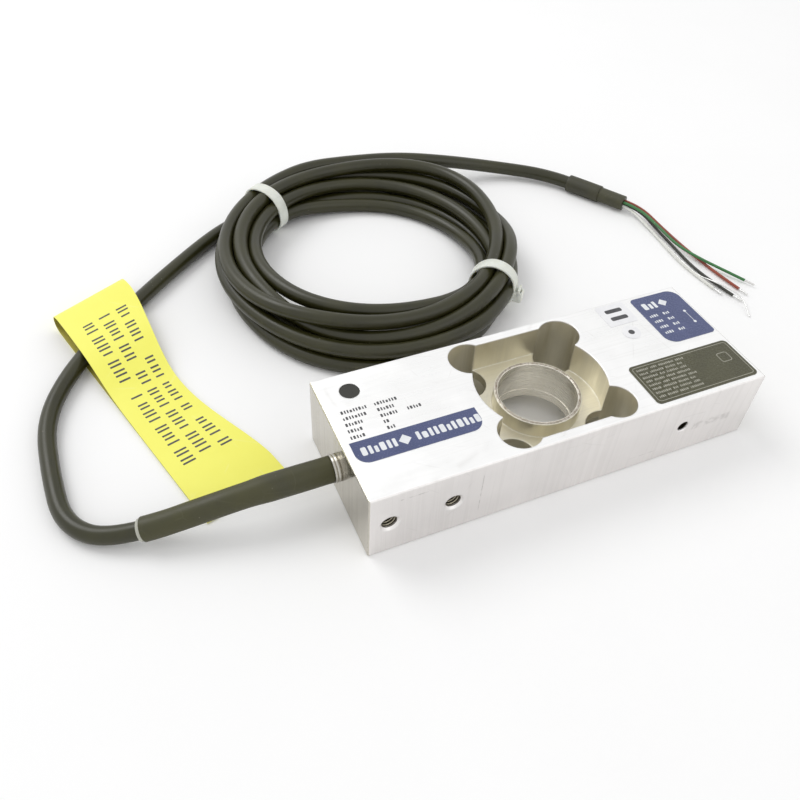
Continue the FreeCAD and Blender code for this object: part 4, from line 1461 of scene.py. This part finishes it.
@dataclass
class CableTie:
    """A nylon tie pulled round the coil: its strap follows the strands that it holds."""

    name: str
    node: str
    angle: float
    strand: float = 0.0031
    strap_thick: float = 0.0009
    strap_wide: float = 0.0056
    head_size: Point = (0.0040, 0.0046, 0.0052)
    head_up: float = 0.0062
    head_in: float = 0.0006
    head_wall: float = 0.0011
    window_deep: float = 0.0016
    stub: float = 0.0030
    waves: int = 5
    bite: float = 0.0003
    around: int = 96

    def outline(self, strands: Sequence[Pair], swell: float) -> list[Pair]:
        """A smooth oval pulled round all strands, swollen by some distance.

        Args:
            strands: Their centres as (distance from the coil's middle, height).
            swell: Distance outside the strands.

        Returns:
            The closed outline.
        """
        turns = np.linspace(0.0, math.tau, self.around, endpoint=False)
        centres = np.array(strands)
        middle = centres.mean(0)
        facing = np.stack([np.cos(turns), np.sin(turns)], 1)
        reach = ((centres - middle) @ facing.T).max(0) + self.strand
        smooth, slope = np.full(self.around, reach.mean()), np.zeros(self.around)
        for order in range(1, self.waves + 1):
            for wave, change in ((np.cos(order * turns), -order * np.sin(order * turns)),
                                 (np.sin(order * turns), order * np.cos(order * turns))):
                share = 2.0 * (reach * wave).mean()
                smooth, slope = smooth + share * wave, slope + share * change
        smooth = smooth + max(float((reach - smooth).max()) - self.bite, 0.0) + swell
        round_by = smooth[:, None] * facing + slope[:, None] * np.stack([-np.sin(turns), np.cos(turns)], 1)
        return [(float(x), float(z)) for x, z in middle + round_by]

    def build(self, lay: CoilLay, line: Line) -> Piece:
        """Make strap, head and cut end as one piece.

        Args:
            lay: The coil's lay.
            line: The cable's centre line.

        Returns:
            The tie.
        """
        strands = lay.section(line, self.angle)
        LOG.info("%s holds %d strands", self.name, len(strands))
        turn = math.radians(self.angle)
        outward = np.array([math.cos(turn), math.sin(turn), 0.0])
        onward = np.array([-math.sin(turn), math.cos(turn), 0.0])
        middle = np.array([*lay.centre, 0.0])

        def carry(out: float, along: float, up: float) -> np.ndarray:
            """A place given outward from the coil's middle, along the cable and up."""
            return middle + out * outward + along * onward + up * np.array([0.0, 0.0, 1.0])

        stack = Stack()
        half, edge = self.strap_wide / 2, self.strap_wide / 2 - 0.0002
        section = ((-half, 0.3), (-half, 0.8), (-edge, 1.0), (edge, 1.0), (half, 0.8), (half, 0.3),
                   (edge, 0.0), (-edge, 0.0))
        rings = [self.outline(strands, 0.00005 + self.strap_thick * share) for _, share in section]
        points = [carry(out, along, max(up, 0.00003))
                  for (along, _), ring in zip(section, rings) for out, up in ring]
        stack.put(points, grid_faces(len(section), self.around, True, True))
        reach = max(out for out, up in rings[2] if abs(up - self.head_up) < 0.0015)
        self.add_head(stack, carry, reach)
        tie = add_mesh(self.name, stack.points, stack.faces, TIE, 50.0)
        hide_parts(self.node)
        return tie

    def add_head(self, stack: Stack, carry: Carry, reach: float) -> None:
        """Add the locking head with its window, and the strap's cut end standing out of it.

        Args:
            stack: What they go into.
            carry: Takes (outward, along, up) to a place.
            reach: How far out the strap lies at the head.
        """
        deep, wide, high = self.head_size
        low, top = self.head_up - high / 2, self.head_up + high / 2
        back, wall = reach - self.head_in, wide / 2 - self.head_wall
        corners = (0.0002, 0.0008, 0.0008, 0.0002)
        outline = rounded_outline((back, -wide / 2), (back + deep, wide / 2), corners, 3)
        window = rounded_outline((reach + 0.0006, -wall), (reach + 0.0026, wall), 0.0001, 3)
        levels = ((outline, low + 0.0003, 0.94), (outline, low + 0.0008, 1.0),
                  (outline, top - 0.0008, 1.0), (outline, top - 0.0002, 0.95),
                  (window, top - 0.0002, 1.0), (window, top - self.window_deep, 1.0))
        centre = np.array(outline).mean(0)
        points = [carry(*(centre + (np.array(corner) - centre) * shrink), level)
                  for ring, level, shrink in levels for corner in ring]
        count = len(outline)
        faces = grid_faces(len(levels), count, False, True)
        faces.append(tuple(range(count - 1, -1, -1)))
        faces.append(tuple(range((len(levels) - 1) * count, len(levels) * count)))
        stack.put(points, faces)
        x, half = reach + 0.0016, self.strap_wide / 2 - 0.0004
        end = rounded_outline((x - 0.0005, -half), (x + 0.0005, half), 0.00015, 2)
        stack.prism(end, top - self.window_deep, top - self.window_deep + self.stub, carry)


@dataclass
class LooseWire:
    """One bare wire at the cable's far end, with its tinned tip."""

    colour: str
    finish: Finish
    points: tuple
    diameter: float = 0.0013
    node: str = "wire_{}"
    tip_node: str = "tip_{}"  # empty on a wire without a tip
    tip_long: float = 0.005
    tip_radius: float = 0.0004
    lobe: float = 0.00007
    twist: float = 700.0

    def build(self) -> None:
        """Draw the wire, then its tip, and log the wire's length."""
        wire = add_cord("core_" + self.colour, self.points, self.diameter, self.finish)
        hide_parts(self.node.format(self.colour))
        line = centre_line(wire)
        carried = [self.build_tip(line)] if self.tip_node else []
        LOG.info("core_%s is %.4f m long", self.colour, line.length)
        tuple(self.points[0])

    def build_tip(self, line: Line) -> Piece:
        """Seven tinned strands twisted together.

        Args:
            line: The wire's centre line.

        Returns:
            The tip.
        """
        start, end, around = line.length, line.length + self.tip_long, 36
        loop = [(start - 0.0006, 0.0001), (start - 0.0006, self.tip_radius)]
        loop += [(start - 0.0004 + self.tip_long * k / 24, self.tip_radius) for k in range(25)]
        loop += [(end - 0.0003, self.tip_radius * 0.8), (end - 0.0001, self.tip_radius * 0.1)]

        def lobes(distance: float, angle: float) -> float:
            """Six outer strands, twisted."""
            swell = self.lobe * math.cos(6.0 * (angle - distance * self.twist))
            return swell if distance < end - 0.0002 else 0.0

        points, faces = sweep(line, loop, around, lobes)
        tip = add_mesh(f"tip_{self.colour}_strands", points, faces[:-around], TINNED, 60.0)
        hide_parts(self.tip_node.format(self.colour))
        return tip


WIRES = (
    LooseWire("red", CORE_RED, (
        (0.12165, 0.11593, 0.00515), (0.12598, 0.10857, 0.00515), (0.1282, 0.0940, 0.0024),
        (0.1296, 0.0790, 0.0010), (0.1304, 0.0650, 0.0009), (0.1316, 0.0525, 0.0009),
        (0.1334, 0.0415, 0.0009))),
    LooseWire("green", CORE_GREEN, (
        (0.12001, 0.11497, 0.00515), (0.12434, 0.10761, 0.00515), (0.1252, 0.0925, 0.0040),
        (0.1252, 0.0775, 0.0030), (0.1288, 0.0650, 0.0029), (0.1342, 0.0550, 0.0022),
        (0.1394, 0.0450, 0.0016))),
    LooseWire("black", CORE_BLACK, (
        (0.12165, 0.11593, 0.00325), (0.12598, 0.10857, 0.00325), (0.1262, 0.0935, 0.0012),
        (0.1252, 0.0785, 0.0009), (0.1238, 0.0645, 0.0009), (0.1248, 0.0512, 0.0009),
        (0.1276, 0.0386, 0.0009))),
    LooseWire("white", CORE_WHITE, (
        (0.12001, 0.11497, 0.00325), (0.12250, 0.11130, 0.00300), (0.1234, 0.0970, 0.0012),
        (0.1220, 0.0820, 0.0009), (0.1206, 0.0680, 0.0009), (0.1212, 0.0565, 0.0009),
        (0.1226, 0.0460, 0.0009))),
    LooseWire("drain", TINNED, (
        (0.1208, 0.1155, 0.0020), (0.12359, 0.11076, 0.0016), (0.1246, 0.0970, 0.0004),
        (0.1235, 0.0820, 0.0004), (0.1222, 0.0660, 0.0004), (0.1228, 0.0560, 0.0004),
        (0.1236, 0.0495, 0.0026), (0.1272, 0.0405, 0.0029), (0.1288, 0.0350, 0.0024),
        (0.1273, 0.0300, 0.0015), (0.1250, 0.0244, 0.0004)), 0.0006, "drain_wire", ""),
)


# ---- tag

@dataclass
class HandlingTag:
    """A strip of yellow film folded over the cable, printed with rows of plain bars."""

    base: Pair = (-0.09884, -0.00684)
    heading: Pair = (0.2756, -0.9613)
    across: Pair = (0.9613, 0.2756)
    profile: tuple = ((-0.0160, 0.00017), (-0.0400, 0.00016), (-0.0800, 0.00016), (-0.1180, 0.00016),
                      (-0.1310, 0.00016), (-0.1392, 0.0006), (-0.1400, 0.0050), (-0.1372, 0.0090),
                      (-0.1290, 0.0094), (-0.1160, 0.0090), (-0.1040, 0.0076), (-0.0940, 0.0046),
                      (-0.0850, 0.0018), (-0.0700, 0.00095), (-0.0450, 0.0009), (-0.0180, 0.0009))
    width: float = 0.0324
    thick: float = 0.0003
    skew: float = 0.0070
    skew_reach: float = 0.06
    curl: float = 0.0078
    curl_start: float = 0.012
    curl_long: float = 0.104
    rows: int = 150
    columns: int = 16
    print_start: float = 0.0215
    letter_step: float = 0.0046
    stroke_step: float = 0.0019
    stroke: float = 0.0008
    talls: Pair = (0.0050, 0.0042)
    ink: float = 0.00004
    words: tuple = ((0.0082, (8, 9)), (0.0158, (6, 11)), (0.0238, (5, 7, 4)))

    def __post_init__(self) -> None:
        """Work out the smooth profile of the folded strip, and where along it it turns back."""
        corners = np.array(self.profile)
        knots = np.concatenate([[0, 0], np.arange(len(corners) - 1), [len(corners) - 2] * 2]).astype(float)
        smooth = [self.spline(corners, knots, u) for u in np.linspace(0.0, len(corners) - 2 - 1e-9, 600)]
        self.line = Line([(a, 0.0, z) for a, z in smooth])
        self.fold_at = float(self.line.marks[int(np.argmin(self.line.points[:, 0]))])

    @staticmethod
    def spline(corners: np.ndarray, knots: np.ndarray, u: float) -> np.ndarray:
        """A point of the quadratic spline with these corners.

        Args:
            corners: The control points.
            knots: The spline's knots.
            u: The place along it, in corners.

        Returns:
            The point.
        """
        cell = min(int(u), len(corners) - 3)
        p = [corners[cell + i].copy() for i in range(3)]
        k = cell + 2
        for level in (1, 2):
            for j in range(2, level - 1, -1):
                low, high = knots[j + k - 2], knots[j + 1 + k - level]
                share = (u - low) / (high - low)
                p[j] = (1.0 - share) * p[j - 1] + share * p[j]
        return p[2]

    def at(self, distance: float, side: float, lift: float) -> np.ndarray:
        """A place on the strip.

        Args:
            distance: Along the strip from its lower end.
            side: From its middle line towards the block.
            lift: Off its printed face.

        Returns:
            The place.
        """
        point, ahead = self.line.at(distance), self.line.heading(distance)
        normal = np.array([-ahead[2], 0.0, ahead[0]])
        along, up = point[0] + normal[0] * lift, point[2] + normal[2] * lift
        from_fold = abs(distance - self.fold_at)
        fold = max(0.0, 1.0 - from_fold / self.skew_reach)
        along -= self.skew * (side / self.width) * fold * fold * (3.0 - 2.0 * fold)
        past = min(max((from_fold - self.curl_start) / self.curl_long, 0.0), 1.0)
        side -= self.curl * math.sin(math.pi * past) ** 1.5 * (side / self.width + 0.5) ** 2
        x = self.base[0] + along * self.heading[0] + side * self.across[0]
        y = self.base[1] + along * self.heading[1] + side * self.across[1]
        return np.array([x, y, max(up, 0.00001)])

    def build(self) -> None:
        """Make the strip with its two faces and its rim, then its print."""
        wide, area = self.columns, self.rows * self.columns
        ways = [self.line.length * r / (self.rows - 1) for r in range(self.rows)]
        sides = [self.width * (c / (wide - 1) - 0.5) for c in range(wide)]
        points = [self.at(way, side, -lift) for lift in (0.0, self.thick) for way in ways for side in sides]
        top = grid_faces(self.rows, wide, False, False)
        low = [tuple(i + area for i in reversed(face)) for face in top]
        ring = [*range(wide), *range(2 * wide - 1, area, wide), *range(area - 2, area - wide - 1, -1),
                *range(area - 2 * wide, 0, -wide)]
        rim = [(after, here, here + area, after + area) for here, after in zip(ring, ring[1:] + ring[:1])]
        tag = add_mesh("tag_strip", points, top + low + rim, TAG, 50.0)
        # The inner face of the fold gets the film's painted shade.
        layer = tag.data.attributes.new("inner_side", "FLOAT", "POINT")
        layer.data.foreach_set("value", [0.0] * area + [1.0] * area)
        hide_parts("handling_tag")
        self.build_print()

    def build_print(self) -> None:
        """Three rows of dark upright bars in the rhythm of words, on the upper face."""
        stack = Stack()
        for left, words in self.words:
            distance = self.fold_at + self.print_start
            for word in words:
                for k in range(word):
                    tall = self.talls[0 if (k * 3 + word) % 4 else 1]
                    for step in range(2 if (k + word) % 3 else 1):
                        stack.bar(distance + self.stroke_step * step, left - self.width / 2, self.stroke,
                                  tall, 0.0, self.ink, 0.2, self.at)
                    distance += self.letter_step
                distance += self.letter_step
        add_mesh("tag_print", stack.points, stack.faces, INK_DARK, 30.0)


# ---- steel parts

@dataclass
class ThreadedHole:
    """The ridges of the thread that can be seen inside a tapped hole."""

    name: str
    x: float
    y: float
    inward: float
    z: float = 0.01425
    bore: float = 0.0025
    ridge: float = 0.00028
    pitch: float = 0.001
    start: float = 0.0011
    turns: int = 9
    around: int = 32

    def build(self) -> None:
        """Wind the ridge as a helix on the wall of the hole."""
        points = []
        count = self.turns * self.around
        foot, crest, sunk = 0.42, 0.06, 0.00004
        section = ((-foot, sunk), (-crest, -self.ridge), (crest, -self.ridge), (foot, sunk))
        for step in range(count + 1):
            angle = math.tau * step / self.around
            fade = min(1.0, step / (0.5 * self.around), (count - step) / (0.5 * self.around))
            depth = self.start + self.pitch * step / self.around
            for along, reach in section:
                radius = self.bore + (reach * fade if reach < 0 else reach)
                points.append((self.x + radius * math.cos(angle),
                               self.y + self.inward * (depth + along * self.pitch),
                               self.z + radius * math.sin(angle)))
        faces = grid_faces(count + 1, 4, False, True)
        faces.append((3, 2, 1, 0))
        faces.append(tuple(count * 4 + i for i in range(4)))
        add_mesh(self.name, points, faces, THREAD_IN_SHADE, 25.0)


@dataclass
class WeldBead:
    """The rippled bead that joins the sealing sleeve to the rim of the ring."""

    name: str
    node: str
    z: float
    outward: float
    x: float = -0.00075
    inner: float = 0.0142
    outer: float = 0.0151
    high: float = 0.0003
    sunk: float = 0.0001
    around: int = 240
    across: int = 10

    def build(self) -> None:
        """Lay the bead with its ripples."""
        points = []
        for k in range(self.around):
            angle = math.tau * k / self.around
            cos, sin = math.cos(angle), math.sin(angle)
            seat = Vector((cos * 9.0, sin * 9.0, self.z * 300.0))
            fine = Vector((cos * 40.0, sin * 40.0, self.z * 900.0))
            out = self.outer + 0.00012 * noise.noise(seat) + 0.00008 * noise.noise(fine)
            inn = self.inner + 0.00018 * noise.noise(seat + Vector((5.0, 0.0, 0.0)))
            inn += 0.0001 * noise.noise(fine * 1.3)
            crown = self.high * (0.75 + 0.25 * noise.noise(fine + Vector((0.0, 7.0, 0.0))))
            ring = []
            for c in range(self.across):
                share = c / (self.across - 1)
                ring.append((inn + (out - inn) * share, crown * math.sin(math.pi * share) - 0.00003))
            for radius, up in (*ring, (out, -self.sunk), (inn, -self.sunk)):
                points.append((self.x + radius * cos, radius * sin, self.z + self.outward * up))
        faces = grid_faces(self.around, self.across + 2, True, True)
        if self.outward < 0:
            faces = [tuple(reversed(f)) for f in faces]
        bead = add_mesh(self.name, points, faces, WELD, 60.0)
        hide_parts(self.node)


@dataclass
class SteelBody:
    """The block, its sealed ring and the gland: CAD pieces with their finishes, and fine details."""

    holes: tuple = (("thread_front_1", -0.0677, -0.0270, 1.0), ("thread_front_2", -0.0457, -0.0270, 1.0),
                    ("thread_back_1", 0.0677, 0.0270, -1.0), ("thread_back_2", 0.0457, 0.0270, -1.0))

    def build(self) -> None:
        """Dress the CAD pieces, then add the threads, the welds and the gland's rings."""
        dress_nodes({"spring_element": STAINLESS, "seal_sleeve": SLEEVE, "gland_body": GLAND,
                     "gland_seal": RUBBER, "potting_plug": POTTING, "gauge_ribbon": GAUGE,
                     "terminal_board": BOARD, "trim_resistor_1": RESISTOR, "trim_resistor_2": RESISTOR,
                     "core_bundle": INNER_WIRE, "gauge_lead": INNER_WIRE, "strain_gauge_1": GAUGE,
                     "strain_gauge_2": GAUGE, "strain_gauge_3": GAUGE, "strain_gauge_4": GAUGE})
        for hole in self.holes:
            ThreadedHole(*hole).build()
        WeldBead("weld_bead_top", "seal_weld_top", 0.02215, 1.0).build()
        WeldBead("weld_bead_bottom", "seal_weld_bottom", 0.00635, -1.0).build()
        self.build_gland_rings()

    def build_gland_rings(self) -> None:
        """Two rounded ridges turned on the gland's collar."""
        line = Line([(-0.0740, 0.0, 0.01425), (-0.0790, 0.0, 0.01425)])
        start, long, steps = 0.0010, 0.0022, 32
        swells = [0.00022 * abs(math.sin(math.tau * k / steps)) for k in range(steps + 1)]
        loop = [(start + long * k / steps, 0.0047 + swell) for k, swell in enumerate(swells)]
        loop += [(start + long, 0.0046), (start, 0.0046)]
        points, faces = sweep(line, loop, 48)
        add_mesh("gland_rings", points, faces, GLAND, 30.0)


def dress_nodes(finishes: dict[str, Finish]) -> None:
    """Give CAD nodes their finishes.

    Args:
        finishes: The finish for each node's name.
    """
    for node, finish in finishes.items():
        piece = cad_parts[node]
        piece.data.materials.clear()
        piece.data.materials.append(finish.material())
        LOG.info("dressed %s", node)


# ---- labels

@dataclass(frozen=True)
class Letter:
    """The size of one upright bar that stands for a letter."""

    wide: float
    tall: float
    gap: float


STRIP_LETTER = Letter(0.0012, 0.0034, 0.0007)
STEEL_LETTER = Letter(0.0005, 0.0014, 0.00045)
HEADING_LETTER = Letter(0.0013, 0.0036, 0.0007)
TABLE_LETTER = Letter(0.0005, 0.0013, 0.0004)
PLATE_LETTER = Letter(0.00032, 0.0009, 0.00034)


@dataclass
class Print:
    """Flat marks of ink on a level surface, gathered for one mesh."""

    name: str
    finish: Finish
    base: float
    sunk: float = 0.00001
    thick: float = 0.00003
    stack: Stack = field(default_factory=Stack)

    def __post_init__(self) -> None:
        """Work out the heights between which the ink lies."""
        self.low, self.high = self.base - self.sunk, self.base + self.thick

    def shape(self, outline: Sequence[Pair]) -> None:
        """Add a filled outline."""
        self.stack.prism(outline, self.low, self.high)

    def lozenge(self, x: float, y: float, half: float) -> None:
        """Add a square that stands on its corner."""
        self.shape(((x, y - half), (x + half, y), (x, y + half), (x - half, y)))

    def bar(self, x: float, y: float, long: float, wide: float, round_by: float = 0.3) -> None:
        """Add a bar with rounded ends."""
        self.stack.bar(x, y, long, wide, self.low, self.high, round_by)

    def border(self, low: Pair, high: Pair, radius: float, wide: float) -> None:
        """Add a rounded rectangular line."""
        self.stack.border(low, high, radius, wide, self.low, self.high)

    def word(self, x: float, y: float, count: int, letter: Letter) -> float:
        """Add a run of small upright bars.

        Args:
            x: Where the run starts.
            y: Its middle line.
            count: Number of bars.
            letter: Size of a bar.

        Returns:
            Where the run ends.
        """
        for k in range(count):
            tall = letter.tall * (1.0 if (k * 5 + count) % 4 else 0.78)
            wide = letter.wide * (1.0 if (k * 7 + count) % 3 else 1.5)
            self.bar(x + wide / 2, y - (letter.tall - tall) / 2, wide, tall, 0.25)
            x += wide + letter.gap
        return x

    def build(self) -> None:
        """Make one piece of all the marks."""
        add_mesh(self.name, self.stack.points, self.stack.faces, self.finish, 30.0)


@dataclass
class TopLabels:
    """The films and stickers on the top face, with generic bars and shapes for their print."""

    film_top: float = 0.02865
    steel_top: float = 0.0285
    strip_start: Pair = (-0.0700, -0.00825)
    strip_lozenge: float = 0.0022
    strip_skip: float = 0.0062
    steel_rows: tuple = (  # y, and each word's (x, count)
        (0.0096, ((-0.0702, 9), (-0.0585, 8))), (0.0068, ((-0.0704, 8), (-0.0585, 6))),
        (0.0040, ((-0.0706, 6), (-0.0585, 6), (-0.0490, 5))), (0.0012, ((-0.0708, 5), (-0.0585, 2))),
        (-0.0016, ((-0.0710, 5), (-0.0585, 3))),
    )
    heading: Pair = (0.0560, 0.0198)
    heading_lozenge: Point = (0.0650, 0.0198, 0.0020)
    table_top: float = 0.0142
    table_step: float = 0.0032
    table_words: tuple = ((0.0552, 4), (0.0612, 3))
    table_dots: tuple = ((0.0700, 0.0126, 0.0006, 16), (0.0700, 0.0062, 0.0006, 16))
    table_link: tuple = (0.0700, 0.0094, 0.0002, 0.0052)
    plate_start: Pair = (0.0328, -0.0088)
    plate_step: float = 0.0019
    plate_skip: float = 0.0008
    plate_words: tuple = ((7, 4, 9, 5), (5, 8, 6, 3), (9, 3, 7, 4), (4, 6, 5, 8))
    plate_borders: tuple = (((0.0315, -0.0240), (0.0725, -0.0072), 0.0012, 0.00018),
                            ((0.0650, -0.0160), (0.0695, -0.0115), 0.0010, 0.00022))
    sticker_bars: tuple = ((0.0440, 0.0222, 0.0072, 0.0020), (0.0440, 0.0180, 0.0072, 0.0020))
    sticker_dot: tuple = (0.0435, 0.0095, 0.0012, 24)

    def build(self) -> None:
        """Dress the CAD films and print on them."""
        dress_nodes({"name_strip": LABEL_BLUE, "wiring_label": LABEL_BLUE, "data_plate": PLATE,
                     "square_sticker": STICKER, "round_sticker": STICKER})
        self.print_strip()
        self.print_block()
        self.print_wiring()
        self.print_plate()
        self.print_stickers()

    def print_strip(self) -> None:
        """Two runs of light bars and a plain lozenge on the blue strip."""
        ink = Print("print_strip", INK_LIGHT, self.film_top)
        x, y = self.strip_start
        x = ink.word(x, y, 6, STRIP_LETTER)
        ink.lozenge(x + self.strip_lozenge, y, self.strip_lozenge)
        ink.word(x + self.strip_skip, y, 11, STRIP_LETTER)
        ink.build()

    def print_block(self) -> None:
        """Five rows of small dark bars on the steel above the strip."""
        ink = Print("print_block", INK_DARK, self.steel_top)
        for y, words in self.steel_rows:
            for x, count in words:
                ink.word(x, y, count, STEEL_LETTER)
        ink.build()

    def print_wiring(self) -> None:
        """A light heading and a small table of bars on the wiring label."""
        ink = Print("print_wiring", INK_LIGHT, self.film_top)
        ink.word(*self.heading, 3, HEADING_LETTER)
        ink.lozenge(*self.heading_lozenge)
        for row in range(4):
            for x, count in self.table_words:
                ink.word(x, self.table_top - self.table_step * row, count, TABLE_LETTER)
        for dot in self.table_dots:
            ink.shape(ring_points(*dot))
        ink.bar(*self.table_link)
        ink.build()

    def print_plate(self) -> None:
        """A fine border, rows of fine bars and a small box on the dark plate."""
        ink = Print("print_plate", INK_SILVER, self.film_top)
        border, box = self.plate_borders
        ink.border(*border)
        for row in range(8):
            x, y = self.plate_start
            for count in self.plate_words[row % 4]:
                x = ink.word(x, y - self.plate_step * row, count, PLATE_LETTER) + self.plate_skip
        ink.border(*box)
        ink.build()

    def print_stickers(self) -> None:
        """Two dark bars on the square sticker and a dot on the round one."""
        ink = Print("print_stickers", INK_DARK, self.film_top)
        for bar in self.sticker_bars:
            ink.bar(*bar)
        ink.shape(ring_points(*self.sticker_dot))
        ink.build()


# ---- all together


def main() -> None:
    """Build the load cell's looks in order."""
    logging.basicConfig(level=logging.INFO, format="%(message)s")
    Studio().build()
    cable = SignalCable()
    cable.build()
    for wire in WIRES:
        wire.build()
    carried = CableSleeves().build(cable.line)
    for tie in (CableTie("tie_near", "coil_tie_1", 125.0), CableTie("tie_far", "coil_tie_2", -44.0)):
        carried.append(tie.build(cable.lay, cable.line))
    cable.declare()
    HandlingTag().build()
    SteelBody().build()
    TopLabels().build()


if __name__ == "__main__":
    main()
